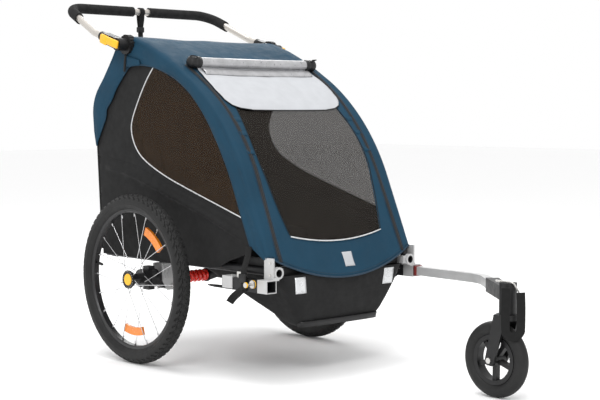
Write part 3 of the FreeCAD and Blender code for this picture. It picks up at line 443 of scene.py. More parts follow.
# distance along the hoop, and the cloth's place outside its centre line: the roof, and the band's inner edge
HOOD_TOP = [(-0.08, .0150), (0.66, .0155), (0.74, .0210), (0.80, .0290), (0.86, .0390), (0.92, .0500),
            (0.950, .0545),
            (0.975, .0520), (1.00, .0460), (1.04, .0390), (1.08, .0330), (1.14, .0280), (1.24, .0255),
            (1.29, .0170),
            (1.6, .0155)]
BAND_IN = [(0.0, .010), (0.02, .000), (0.04, -.024), (0.072, -.046), (0.28, -.046), (0.36, -.044),
           (0.434, -.039),
           (0.514, -.030), (0.595, -.022), (0.671, -.020), (0.743, -.022), (0.795, -.024), (0.855, -.030),
           (0.92, -.040), (1.008, -.041), (1.048, -.043), (1.093, -.053), (1.197, -.051), (1.245, -.018),
           (1.282, .009)]
# distance along the hoop, and half the front screen's width
WINDOW_W = [(0.06, .176), (0.083, .178), (0.14, .190), (0.205, .201), (0.29, .212), (0.35, .213),
            (0.41, .209),
            (0.48, .200), (0.66, .188)]
HOOD_END = 1.284
WINDOW_TOP = 0.645


def top_off(s, y):
    sag = 0.0045 * (1 - (y / 0.25) ** 2) if abs(y) < 0.25 else 0
    return table(s, HOOD_TOP) - sag


def hood_wrinkle(s, y, side):
    if side:
        long_folds = 0.0026 * wobble(s * 6, y * 46, 1.7) + 0.0014 * wobble(s * 17 + y * 60, y * 30, 2.9)
        low = math.exp(-((s - 0.15) / 0.14) ** 2) * 0.0048 * wobble(s * 9 + y * 26, y * 62, 9.1)
        return long_folds + low
    edge = 0.0022 * math.exp(-((abs(y) - 0.258) / 0.022) ** 2) * wobble(s * 12 + y * 40, y * 60, 4.2)
    roof = 0.0030 * max(0, min(1, (s - 0.80) / 0.15)) * wobble(s * 7, y * 9, 6.6)
    return edge + roof + 0.0010 * wobble(s * 9, y * 14, 2.2)


def hem_s(y):
    return -0.050 + 0.076 * (y / HALF_W) ** 2


def window_bottom(y):
    return 0.060 + 0.021 * (y / 0.178) ** 2


def hood_rows():
    """Rows from the front hem over the roof to the rear edge; columns from right side to left."""
    low, mid = 7, 44
    count = low + mid + 56
    in_cols = np.linspace(-1, 1, 27)
    out_cols = np.linspace(0, 1, 8)[1:]
    rows = []
    for r in range(count + 1):
        row = []

        def s_of(y, drop=0.0):
            hem = hem_s(y) + max(0.0, -drop) * 0.62
            bottom = window_bottom(min(abs(y), 0.26))
            if r <= low:
                return hem + (bottom - hem) * r / low
            if r <= low + mid:
                return bottom + (WINDOW_TOP - bottom) * (r - low) / mid
            return WINDOW_TOP + (HOOD_END - WINDOW_TOP) * (r - low - mid) / (count - low - mid)

        half = table(s_of(0.17), WINDOW_W)
        flat = HALF_W - CORNER
        ys = [-(half + (flat - half) * t) for t in out_cols[::-1]] + [half * c for c in in_cols] + [
            half + (flat - half) * t for t in out_cols]

        def side(sign):
            points = []
            s_edge = s_of(sign * HALF_W)
            inner, outer = table(s_edge, BAND_IN), table(s_edge, HOOD_TOP)
            inner = min(inner, outer - CORNER - 0.001)
            for t in np.linspace(0, 1, 8):
                off = inner + (outer - CORNER - inner) * t
                s = s_of(sign * HALF_W, off)
                bulge = 0.0035 * math.sin(math.pi * min(1, t * 0.9 + 0.05)) + hood_wrinkle(s, off, True)
                points.append((s, sign * (HALF_W - 0.0015 + bulge * (1 if t > 0 else 0.3)), off))
            for a in (22, 45, 68):
                a = math.radians(a)
                points.append((s_edge, sign * (HALF_W - CORNER + CORNER * math.cos(a)),
                               outer - CORNER + CORNER * math.sin(a)))
            return points

        right = side(-1)
        left = side(1)[::-1]
        for s, y, off in right:
            row.append(on_hood(s, y, off))
        for y in ys:
            s = s_of(y)
            row.append(on_hood(s, y, top_off(s, y) + hood_wrinkle(s, y, False)))
        for s, y, off in left:
            row.append(on_hood(s, y, off))
        rows.append(row)
    first = 11 + 7
    return rows, low, low + mid, first, first + 26


ROWS, W_ROW0, W_ROW1, W_COL0, W_COL1 = hood_rows()


def in_window(i, j):
    return W_ROW0 <= i < W_ROW1 and W_COL0 <= j < W_COL1


def compact(verts, faces):
    used = sorted({i for f in faces for i in f})
    index = {old: new for new, old in enumerate(used)}
    return [verts[i] for i in used], [[index[i] for i in f] for f in faces]


verts, faces = compact(*grid(ROWS, skip=in_window))
hood = add("hood_cover", verts, faces, "fabric_blue", thick=0.0016)
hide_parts("hood")
verts, faces = compact(*grid(ROWS, skip=lambda i, j: not in_window(i, j)))
screen = add("front_screen", verts, faces, "mesh_screen", "window_film", thick=0.0010)
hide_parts("front_window")


def hood_track(s_values, y_of, lift):
    return [on_hood(s, y_of(s), top_off(s, y_of(s)) + lift) for s in s_values]


def hood_cross(y_values, s_of, lift):
    return [on_hood(s_of(y), y, top_off(s_of(y), y) + lift) for y in y_values]


def window_edge(s):
    return table(s, WINDOW_W)


for sign, side in ((-1, "right"), (1, "left")):
    s_zip = np.linspace(hem_s(0.24) + 0.006, 0.70, 60)
    zip_y = lambda s: sign * (0.243 - 0.006 * math.exp(-((s - 0.35) / 0.2) ** 2))
    line = hood_track(s_zip, zip_y, 0.0016)
    ribbon(f"zip_tape_{side}", line, Vector((0, 1, 0)), 0.011, 0.0012, "zip_grey", "fabric_black")
    tube(f"zip_coil_{side}", hood_track(s_zip, zip_y, 0.0026), 0.0013, "plastic_black", count=6)
    for k, off in enumerate((0.0085, -0.0085)):
        tube(f"zip_seam_{side}_{k}", hood_track(s_zip, lambda s: zip_y(s) + off, 0.0010), 0.0008,
             "thread_blue",
             "fabric_blue", count=5)
    tube(f"window_seam_{side}",
         hood_track(np.linspace(0.085, WINDOW_TOP, 50), lambda s: sign * (window_edge(s) + .002),
                                           0.0012), 0.0012, "fabric_black", count=6)
    for k, s in enumerate((0.445, 0.395, 0.335)):
        y0 = window_edge(s) + 0.006
        tab = [on_hood(s + 0.001 * t, sign * (y0 + 0.026 * t), top_off(s, y0) + 0.0022) for t in (0, .33, .66,
                                                                                                  1)]
        ribbon(f"cover_tab_{side}_{k}", tab, Vector((0.6, 0, -0.8)), 0.014, 0.0014, "fabric_blue")
    edge = []
    for s in np.linspace(0.075, 1.270, 110):
        off = table(s, BAND_IN)
        edge.append(on_hood(s, sign * (HALF_W - 0.0006), off + 0.003))
    tube(f"band_hem_{side}", edge, 0.0012, "thread_blue", "fabric_blue", count=6)
ys = np.linspace(-0.179, 0.179, 33)
tube("screen_piping", hood_cross(ys, window_bottom, 0.0020), 0.0021, "reflective", "shade_cloth", count=8)
ys = np.linspace(-0.278, 0.278, 49)
tube("front_hem", hood_cross(ys, lambda y: hem_s(y) + 0.002, 0.0), 0.0026, "thread_blue", "fabric_blue",
     count=8)
tube("front_hem_stitch", hood_cross(ys * 0.97, lambda y: hem_s(y) + 0.011, 0.0010), 0.0006, "thread_blue",
     "fabric_blue", count=5)
tube("rear_hem", [on_hood(HOOD_END - 0.002, y, top_off(HOOD_END, y)) for y in ys * 0.985], 0.0024,
     "thread_blue",
     "fabric_blue", count=8)
tag_rows = []
for v in np.linspace(0, 1, 9):
    row = []
    for u in np.linspace(-1, 1, 9):
        pinch = 1 - 0.06 * (1 - (2 * v - 1) ** 2)
        y = 0.017 + 0.019 * u * pinch
        s = -0.019 + 0.043 * v
        row.append(on_hood(s, y, top_off(s, y) + 0.0016))
    tag_rows.append(row)
add("plain_tag", *grid(tag_rows), "shade_cloth", thick=0.0010)

# ------------------------------------------------------------------ side cloth

SIDE_Y = 0.2768
PIPING = [(0.010, 0.866), (-0.002, 0.872), (-0.037, 0.833), (-0.075, 0.778), (-0.106, 0.722), (-0.113, 0.688),
          (-0.103, 0.654), (-0.082, 0.624), (-0.050, 0.599), (0.003, 0.573), (0.070, 0.547), (0.140, 0.525),
          (0.214, 0.503), (0.300, 0.478), (0.399, 0.449)]
RIDGE = [(-0.236, 0.571), (-0.160, 0.562), (-0.085, 0.545), (0.000, 0.521), (0.084, 0.496), (0.160, 0.474),
         (0.244, 0.449), (0.320, 0.423), (0.395, 0.395)]
SEAM = [(-0.228, 0.599), (-0.085, 0.577), (0.084, 0.528), (0.244, 0.483), (0.395, 0.438)]


def away(p, line):
    """Height of p above a line given from rear to front, and a weight that fades to 0 at its ends."""
    z = np.interp(p[0], [q[0] for q in line], [q[1] for q in line])
    fade = min(1, max(0, (p[0] - line[0][0] + 0.02) / 0.04)) * min(1,
                                                                   max(0, (line[-1][0] + 0.02 - p[0]) / 0.04))
    return p[1] - z, fade


def side_relief(x, z):
    d, fade = away((x, z), RIDGE)
    ridge = 0.0105 * math.exp(-(d / 0.0080) ** 2) - 0.0022 * math.exp(-((d + 0.019) / 0.007) ** 2)
    d2, fade2 = away((x, z), SEAM)
    seam = -0.0016 * math.exp(-(d2 / 0.004) ** 2) + 0.0034 * math.exp(-((d2 + 0.013) / 0.010) ** 2)
    low = max(0, min(1, (0.52 - z) / 0.15))
    soft = 0.0030 * wobble(x * 9, z * 16, 3.3) * low + 0.0018 * wobble(x * 24 + z * 14, z * 9, 5.5) * low
    return ridge * fade + seam * fade2 + soft


def inside(point, poly):
    x, y = point
    hit = False
    for (x0, y0), (x1, y1) in zip(poly, poly[1:] + poly[:1]):
        if (y0 > y) != (y1 > y) and x < (x1 - x0) * (y - y0) / (y1 - y0) + x0:
            hit = not hit
    return hit


def dense(points, step=0.01):
    out = []
    for a, b in zip(points, points[1:]):
        n = max(1, int(math.dist(a, b) / step))
        out += [(a[0] + (b[0] - a[0]) * t / n, a[1] + (b[1] - a[1]) * t / n) for t in range(n)]
    return out + [points[-1]]


def side_polygon():
    outline = [hoop_at(s, 0.0055) for s in np.linspace(0.085, S_END, 170)]
    rear_low = (outline[-1][0] + 0.001, 0.301)
    foot = [rear_low, (-0.10, 0.3005), (0.10, 0.299), (0.262, 0.299), (0.300, 0.304), (0.345, 0.326),
            (0.395, 0.341),
            (0.440, 0.358)]
    return outline + dense(foot + [outline[0]], 0.012)[:-1]


SIDE_POLY = side_polygon()
front_edge = [hoop_at(s, table(s, BAND_IN) + 0.018) for s in np.linspace(0.135, 0.79, 70)]
pipe_line = [(p.x, p.y) for p in smooth_line([(x, z, 0) for x, z in PIPING[1:]], 6)]
WINDOW_POLY = [p for p in front_edge if p[1] > 0.449] + pipe_line


def side_cloth():
    """Flat triangulation of the side, split where the window film starts."""
    points, edges = [], []

    def loop(poly, closed=True):
        start = len(points)
        points.extend(Vector(p) for p in poly)
        n = len(poly)
        edges.extend((start + k, start + (k + 1) % n) for k in range(n if closed else n - 1))

    loop(SIDE_POLY)
    loop(WINDOW_POLY)
    xs = np.arange(-0.30, 0.52, 0.0075)
    zs = np.arange(0.300, 0.93, 0.0065)
    for i, x in enumerate(xs):
        for z in zs:
            q = (float(x + 0.0015 * wobble(x * 90, z * 70)), float(z))
            if inside(q, SIDE_POLY):
                points.append(Vector(q))
    verts2, _, faces2, *_ = delaunay_2d_cdt(points, edges, [], 0, 0.0008)
    cloth, film = [], []
    for f in faces2:
        c = sum((verts2[i] for i in f), Vector((0, 0))) / len(f)
        if not inside((c.x, c.y), SIDE_POLY):
            continue
        (film if inside((c.x, c.y), WINDOW_POLY) else cloth).append(f)
    return verts2, cloth, film


flat_verts, cloth_faces, film_faces = side_cloth()
for sign, side in ((-1, "right"), (1, "left")):
    verts = [P(v.x, sign * (SIDE_Y + max(-0.0008, side_relief(v.x, v.y))), v.y) for v in flat_verts]
    order = (lambda f: f[::-1]) if sign > 0 else (lambda f: f)
    v, f = compact(verts, [order(f) for f in cloth_faces])
    cloth = add(f"side_cloth_{side}", v, f, "fabric_black", thick=0.0014)
    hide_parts("side_panels")
    wave = [P(v.x, sign * (SIDE_Y + 0.0006 + 0.0012 * wobble(v.x * 6, v.y * 7, 8.8)),
              v.y) for v in flat_verts]
    v, f = compact(wave, [order(f) for f in film_faces])
    film = add(f"window_film_{side}", v, f, "window_film", thick=0.0006)
    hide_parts("side_windows")
    tube(f"window_piping_{side}", [P(x, sign * (SIDE_Y + 0.0014), z) for x, z in pipe_line], 0.0019,
         "reflective",
         "shade_cloth", count=8)
    seam = smooth_line([(x, 0, z) for x, z in SEAM], 8)
    tube(f"side_seam_{side}", [P(p.x, sign * (SIDE_Y + side_relief(p.x, p.z) + 0.0010), p.z) for p in seam],
         0.0010,
         "fabric_black", count=6)
    hem = dense([(-0.262, 0.3025), (-0.10, 0.302), (0.10, 0.3005), (0.262, 0.3005), (0.300, 0.3055),
                 (0.345, 0.3275),
                 (0.395, 0.3425)], 0.02)
    tube(f"side_hem_{side}", [P(x, sign * (SIDE_Y + side_relief(x, z)), z) for x, z in hem], 0.0022,
         "fabric_black", count=8)
    corner = [P(x, sign * 0.2745, z) for x, z in (hoop_at(s, 0.0125) for s in np.linspace(1.25, S_END, 30))]
    tube(f"rear_corner_{side}", corner, 0.0042, "fabric_black", count=10)
    flap = []
    for v_ in np.linspace(0, 1, 5):
        flap.append([P(-0.128 + 0.072 * u + 0.004 * v_, sign * (0.2896 + 0.0016 * math.sin(math.pi * u)),
                       0.912 - 0.036 * v_ - 0.022 * u * (1 - v_) + 0.004 * u) for u in np.linspace(0, 1, 7)])
    add(f"hub_flap_{side}", *grid(flap), "fabric_blue", thick=0.0018)
    ribbon(f"hub_flap_strap_{side}",
           smooth_line([P(-0.121, sign * 0.2915, 0.912), P(-0.124, sign * 0.2925, 0.890),
                                                  P(-0.128, sign * 0.2915, 0.862)], 4), Vector((1, 0, 0)),
           0.010,
           0.0018, "webbing_black")

# ------------------------------------------------------------------ rear panel

rows = []
for t in np.linspace(0, 1, 26):
    s = 1.268 + (S_END - 1.268) * t
    row = []
    for y in np.linspace(-0.2735, 0.2735, 45):
        sag = 0.006 * (1 - (y / 0.2735) ** 2) * math.sin(math.pi * min(1, t + 0.1))
        row.append(on_hood(s, y, 0.0145 - sag + 0.0012 * wobble(y * 11, s * 9, 6.1)))
    rows.append(row)
rear = add("rear_cloth", *grid(rows), "fabric_black", thick=0.0014)
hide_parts("rear_panel")
tube("rear_panel_hem", [on_hood(S_END - 0.003, y, 0.0135) for y in np.linspace(-0.272, 0.272, 41)], 0.0024,
     "fabric_black", count=8)
tube("rear_panel_seam", [on_hood(1.42, y, 0.0118) for y in np.linspace(-0.270, 0.270, 41)], 0.0012,
     "fabric_black", count=6)

# -------------------------------------------------------------------- footwell

# height, rear x, front x, half width and corner radius, from the rails down
WELL = [(0.2938, .176, .527, .238, .014), (0.270, .219, .5265, .226, .020), (0.235, .284, .524, .207, .024),
        (0.200, .348, .518, .187, .024), (0.168, .407, .510, .166, .022), (0.150, .440, .500, .153, .018),
        (0.1435, .455, .486, .141, .013)]


def ring_points(x0, x1, half, r, z, n=9):
    pts = []
    for cx, cy, a0 in ((x1 - r, half - r, 0), (x0 + r, half - r, 90), (x0 + r, -half + r, 180),
                       (x1 - r, -half + r, 270)):
        for a in np.linspace(a0, a0 + 90, n):
            a = math.radians(a)
            pts.append([cx + r * math.cos(a), cy + r * math.sin(a), z])
    out = []
    for a, b in zip(pts, pts[1:] + pts[:1]):
        out.append(a)
        gap = math.dist(a, b)
        if gap > 0.03:
            for t in np.linspace(0, 1, int(gap / 0.02) + 1, endpoint=False)[1:]:
                out.append([a[k] + (b[k] - a[k]) * t for k in range(3)])
    return out


WELL_COLUMNS = 96
WELL_Z = [w[0] for w in WELL]
WELL_FRONT = [w[2] for w in WELL]
levels = np.linspace(0, len(WELL) - 1, 25)
sections = []
for level in levels:
    z, x0, x1, half, r = (float(np.interp(level, range(len(WELL)), [w[k] for w in WELL])) for k in range(5))
    sections.append(ring_points(x0, x1, half, r, z))
rows = []
for section in sections:
    loop = section + section[:1]
    lengths = np.concatenate([[0], np.cumsum([math.dist(a, b) for a, b in zip(loop, loop[1:])])])
    row = []
    for t in np.linspace(0, lengths[-1], WELL_COLUMNS, endpoint=False):
        p = [float(np.interp(t, lengths, [q[k] for q in loop])) for k in range(3)]
        w = 0.0022 * wobble(p[0] * 14, p[1] * 14, p[2] * 18)
        row.append(P(p[0] - abs(w), p[1] * (1 - abs(w)), p[2]))
    rows.append(row)
verts, faces = grid(rows, loop_u=True)
centre = P(0.470, 0, 0.1425)
base = len(verts)
last = rows[-1]
for k in (0.66, 0.33):
    verts += [centre + (p - centre) * k for p in last]
verts.append(centre)
start = (len(rows) - 1) * WELL_COLUMNS
outer, inner = base, base + WELL_COLUMNS
for j in range(WELL_COLUMNS):
    n = (j + 1) % WELL_COLUMNS
    faces.append((start + j, start + n, outer + n, outer + j))
    faces.append((outer + j, outer + n, inner + n, inner + j))
    faces.append((inner + j, inner + n, inner + WELL_COLUMNS))
well = add("footwell_cloth", verts, faces, "fabric_black", thick=0.0020)
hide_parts("floor_tub")
rows = [[P(x, y, 0.3378 + 0.0008 * wobble(x * 12, y * 12)) for y in np.linspace(-0.243, 0.243, 33)]
        for x in np.linspace(-0.253, 0.178, 30)]
floor_cloth = add("floor_cloth", *grid(rows), "fabric_black", thick=0.0022)
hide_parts("floor_tub")
rows = [[P(0.1762 + 0.0010 * t, y, 0.338 - 0.045 * t) for y in np.linspace(-0.217, 0.217, 21)]
        for t in np.linspace(0, 1, 5)]
wall = add("floor_front_edge", *grid(rows), "fabric_black", thick=0.0020)
bumper = smooth_line([P(0.488, -0.150, 0.150), P(0.503, -0.146, 0.150), P(0.509, -0.120, 0.150),
                      P(0.511, -0.06, 0.150),
                      P(0.511, 0.0, 0.150), P(0.511, 0.06, 0.150), P(0.509, 0.120, 0.150),
                      P(0.503, 0.146, 0.150),
                      P(0.488, 0.150, 0.150)], 6)
ribbon("footwell_bumper", bumper, Vector((0.25, 0, 1)), 0.017, 0.0055, "plastic_black")
for sign, side in ((-1, "right"), (1, "left")):
    rows = []
    for v_ in np.linspace(0, 1, 6):
        z = 0.287 - 0.046 * v_
        x = float(np.interp(z, WELL_Z[::-1], WELL_FRONT[::-1])) + 0.0026
        rows.append([P(x - 0.0020 * u * u, sign * (0.178 + 0.020 * u - 0.006 * v_),
                       z) for u in np.linspace(-1, 1, 7)])
    add(f"reflective_square_{side}", *grid(rows), "reflective", "shade_cloth", thick=0.0012)

# ------------------------------------------------------------------- sunshade

lo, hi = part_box("sunshade_roller")
ROLL = Vector(((lo.x + hi.x) / 2, 0, (lo.z + hi.z) / 2))
rows = []
for y in np.linspace(-0.211, 0.211, 60):
    row = []
    for k in range(28):
        a = 2 * math.pi * k / 28
        r = 0.0138 + 0.0008 * wobble(y * 16, math.cos(a) * 2, math.sin(a) * 2) + (0.0010 if 3 < k < 9 else 0)
        row.append(ROLL + Vector((r * math.cos(a), y, r * math.sin(a) - 0.0010 * math.cos(y * 8))))
    rows.append(row)
roll = add("sunshade_roll", *grid(rows, loop_u=True), "shade_roll", "shade_cloth")
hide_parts("sunshade_roller")
for sign, side in ((-1, "right"), (1, "left")):
    rows = []
    for y, r in ((0.2085, .0145), (0.210, .0172), (0.222, .0178), (0.226, .0160), (0.230, .0178),
                 (0.244, .0178),
                 (0.247, .0150), (0.250, .0120), (0.252, .0060), (0.2525, .0005)):
        rows.append([ROLL + Vector((r * (1 - 0.05 * (k % 2)) * math.cos(2 * math.pi * k / 32), sign * y,
                                    r * (1 - 0.05 * (k % 2)) * math.sin(2 * math.pi * k / 32))) for k in range(32)])
    add(f"sunshade_cap_{side}", *grid(rows, loop_u=True), "plastic_black")
    loop_line = smooth_line([ROLL + Vector((0.012, sign * 0.228, 0.012)),
                             ROLL + Vector((0.020, sign * 0.236, 0.016)),
                             ROLL + Vector((0.014, sign * 0.247, 0.018)),
                             ROLL + Vector((0.000, sign * 0.244, 0.0175))], 6)
    tube(f"sunshade_loop_{side}", loop_line, 0.0016, "webbing_black", count=8)


SHADE_LOW = 0.4795


def shade_edge(s):
    return table(s,
                 [(SHADE_LOW, .150), (0.486, .190), (0.498, .213), (0.52, .226), (0.56, .2325), (0.62, .231),
                     (0.66, .224), (0.70, .214)])


rows = []
for s in np.linspace(SHADE_LOW, 0.688, 40):
    half = shade_edge(s)
    row = []
    for u in np.linspace(-1, 1, 61):
        y = u * half
        lift = 0.0042 + 0.0011 * wobble(y * 18, s * 26, 2.4) + 0.0012 * abs(wobble(y * 6, s * 40, 7.4))
        lift += 0.010 * max(0, (s - 0.665) / 0.023) ** 2
        row.append(on_hood(s, y, top_off(s, y) + lift))
    rows.append(row)
shade = add("sunshade_sheet", *grid(rows), "shade_cloth", thick=0.0010)
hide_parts("sunshade")
rows = []
for s in np.linspace(0.640, 0.676, 14):
    t = (s - 0.640) / 0.036
    rows.append([on_hood(s, y, top_off(s, y) + 0.0062 + 0.0052 * math.sin(math.pi * t) ** 0.7
                         + 0.0006 * wobble(y * 24, s * 50)) for y in np.linspace(-0.212, 0.212, 61)])
fold = add("sunshade_fold", *grid(rows), "shade_roll", "shade_cloth", thick=0.0010)
edge = [on_hood(s, -shade_edge(s), top_off(s, 0.2) + 0.0044) for s in np.linspace(0.655, SHADE_LOW, 30)]
edge += [on_hood(SHADE_LOW, y, top_off(SHADE_LOW, y) + 0.0044) for y in np.linspace(-0.148, 0.148, 30)]
edge += [on_hood(s, shade_edge(s), top_off(s, 0.2) + 0.0044) for s in np.linspace(SHADE_LOW, 0.655, 30)]
tube("sunshade_binding", edge, 0.0016, "webbing_black", "fabric_black", count=7)

# ----------------------------------------------------------------------- seat

def pad(name, lo, hi, channels, node, tilt=None, cap=0.010):
    """Padded cushion: a remeshed block swollen as cloth, then sewn down along its channels."""
    verts, faces = rounded_box(lo, hi, 0.011, 3)
    obj = add(name, verts, faces, "seat_cloth", body=None)
    remesh = obj.modifiers.new("remesh", "REMESH")
    remesh.mode = "VOXEL"
    remesh.voxel_size = 0.007
    cloth = obj.modifiers.new("cloth", "CLOTH")
    cloth.settings.use_pressure = True
    cloth.settings.uniform_pressure_force = 3.0
    cloth.settings.effector_weights.gravity = 0
    cloth.settings.quality = 4
    scene = bpy.context.scene
    dg = bpy.context.evaluated_depsgraph_get()
    base = bpy.data.meshes.new_from_object(obj.evaluated_get(dg))
    for f in range(1, 13):
        scene.frame_set(f)
    dg = bpy.context.evaluated_depsgraph_get()
    swollen = bpy.data.meshes.new_from_object(obj.evaluated_get(dg))
    scene.frame_set(1)
    if len(swollen.vertices) == len(base.vertices):
        for a, b in zip(base.vertices, swollen.vertices):
            d = b.co - a.co
            b.co = a.co + d * min(1, cap / max(d.length, 1e-6))
    obj.modifiers.clear()
    obj.data = swollen
    obj.data.materials.clear()
    obj.data.materials.append(M["seat_cloth"])
    top = hi[2]
    for v in obj.data.vertices:
        if v.co.z > (lo[2] + top) / 2:
            sink = sum(math.exp(-((v.co[axis] - at) / 0.0065) ** 2) for axis, at in channels)
            v.co.z -= min(0.009, 0.008 * sink)
        v.co.z = max(v.co.z, lo[2] - 0.0008)
    obj.data.polygons.foreach_set("use_smooth", [True] * len(obj.data.polygons))
    if tilt is not None:
        obj.data.transform(tilt)
    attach(obj, "frame")
    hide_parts(node)
    return obj


lo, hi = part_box("seat_base")
grow = 0.007
pad("seat_cushion", (lo.x + grow, lo.y + grow, lo.z + 0.001), (hi.x - grow, hi.y - grow, hi.z - 0.007),
    [(1, -0.108), (1, 0.108), (1, 0.0), (0, (lo.x + hi.x) / 2 + 0.02)], "seat_base")
foot = P(-0.066, 0, 0.3842)
up = Vector((-0.110, 0, 0.405)).normalized()
ahead = Vector((up.z, 0, -up.x))
lay = Matrix.Translation(foot) @ Matrix((up, Vector((0, 1, 0)), ahead)).transposed().to_4x4()
pad("seat_back_cushion", (grow, -0.215 + grow, -0.0330), (0.420 - grow, 0.215 - grow, -0.0065),
    [(1, 0.0), (0, 0.14), (0, 0.27)], "seat_back", tilt=lay)


def on_back(h, y, out):
    return foot + up * h + ahead * out + Vector((0, y, 0))


straps = []
for middle in (-0.108, 0.108):
    for offset in (-0.039, 0.039):
        line = smooth_line([on_back(0.385, middle + offset * 0.8, 0.004),
                            on_back(0.30, middle + offset, 0.0075),
                            on_back(0.20, middle + offset, 0.0085),
                            on_back(0.10, middle + offset * 0.6, 0.010),
                            on_back(0.055, middle + offset * 0.25, 0.014)], 6)
        straps.append(ribbon_mesh(line, Vector((0, 1, 0)), 0.024, 0.0022))
        pad_line = [on_back(h, middle + offset, 0.0115) for h in np.linspace(0.17, 0.31, 8)]
        straps.append(ribbon_mesh(pad_line, Vector((0, 1, 0)), 0.040, 0.0070))
    lap = smooth_line([on_back(0.030, middle - 0.085, 0.004), on_back(0.040, middle - 0.045, 0.011),
                       on_back(0.048, middle, 0.014), on_back(0.040, middle + 0.045, 0.011),
                       on_back(0.030, middle + 0.085, 0.004)], 6)
    straps.append(ribbon_mesh(lap, up, 0.024, 0.0022))
    crotch = smooth_line([on_back(0.048, middle, 0.016), on_back(0.020, middle, 0.030),
                          on_back(0.004, middle, 0.055)], 6)
    straps.append(ribbon_mesh(crotch, Vector((0, 1, 0)), 0.024, 0.0022))
harness = add("harness_straps", *join_lists(straps), "webbing_black")
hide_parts("harness")
buckles = []
for middle in (-0.108, 0.108):
    v, f = rounded_box((-0.022, -0.026, -0.006), (0.022, 0.026, 0.006), 0.0045, 3)
    m = Matrix.Translation(on_back(0.050, middle, 0.021)) @ Matrix((up, Vector((0, 1, 0)),
                                                                    ahead)).transposed().to_4x4()
    buckles.append(([m @ p for p in v], f))
add("harness_buckles", *join_lists(buckles), "plastic_black")

# ---------------------------------------------------------------- main wheels

def tyre_mesh(centre, big, small, cut_from, blocks, groove, segments, around=34):
    """Tyre as a ring of sections, with diagonal grooves cut into its tread."""
    a_max = math.radians(cut_from)
    angles = np.linspace(-math.radians(150), math.radians(150), around)
    rows = []
    for i in range(segments):
        th = 2 * math.pi * i / segments
        row = []
        for a in angles:
            depth = 0.0
            lat = abs(a)
            if math.radians(9) < lat < a_max:
                phase = (th * blocks / (2 * math.pi) + (0.5 if a > 0 else 0) + lat * 1.3) % 1
                depth = groove * (1 if phase < 0.30 else 0)
                if math.radians(30) < lat < math.radians(34):
                    depth = groove
            elif lat <= math.radians(9):
                phase = (th * blocks * 2 / (2 * math.pi) + a * 1.5) % 1
                depth = groove * 0.6 * (1 if phase < 0.16 else 0)
            elif lat > math.radians(104) and lat < math.radians(112):
                depth = -0.0008
            r = small - depth
            radial = big + r * math.cos(a)
            row.append(centre + Vector((radial * math.cos(th), r * math.sin(a), radial * math.sin(th))))
        rows.append(row)
    return grid(rows, loop_v=True)


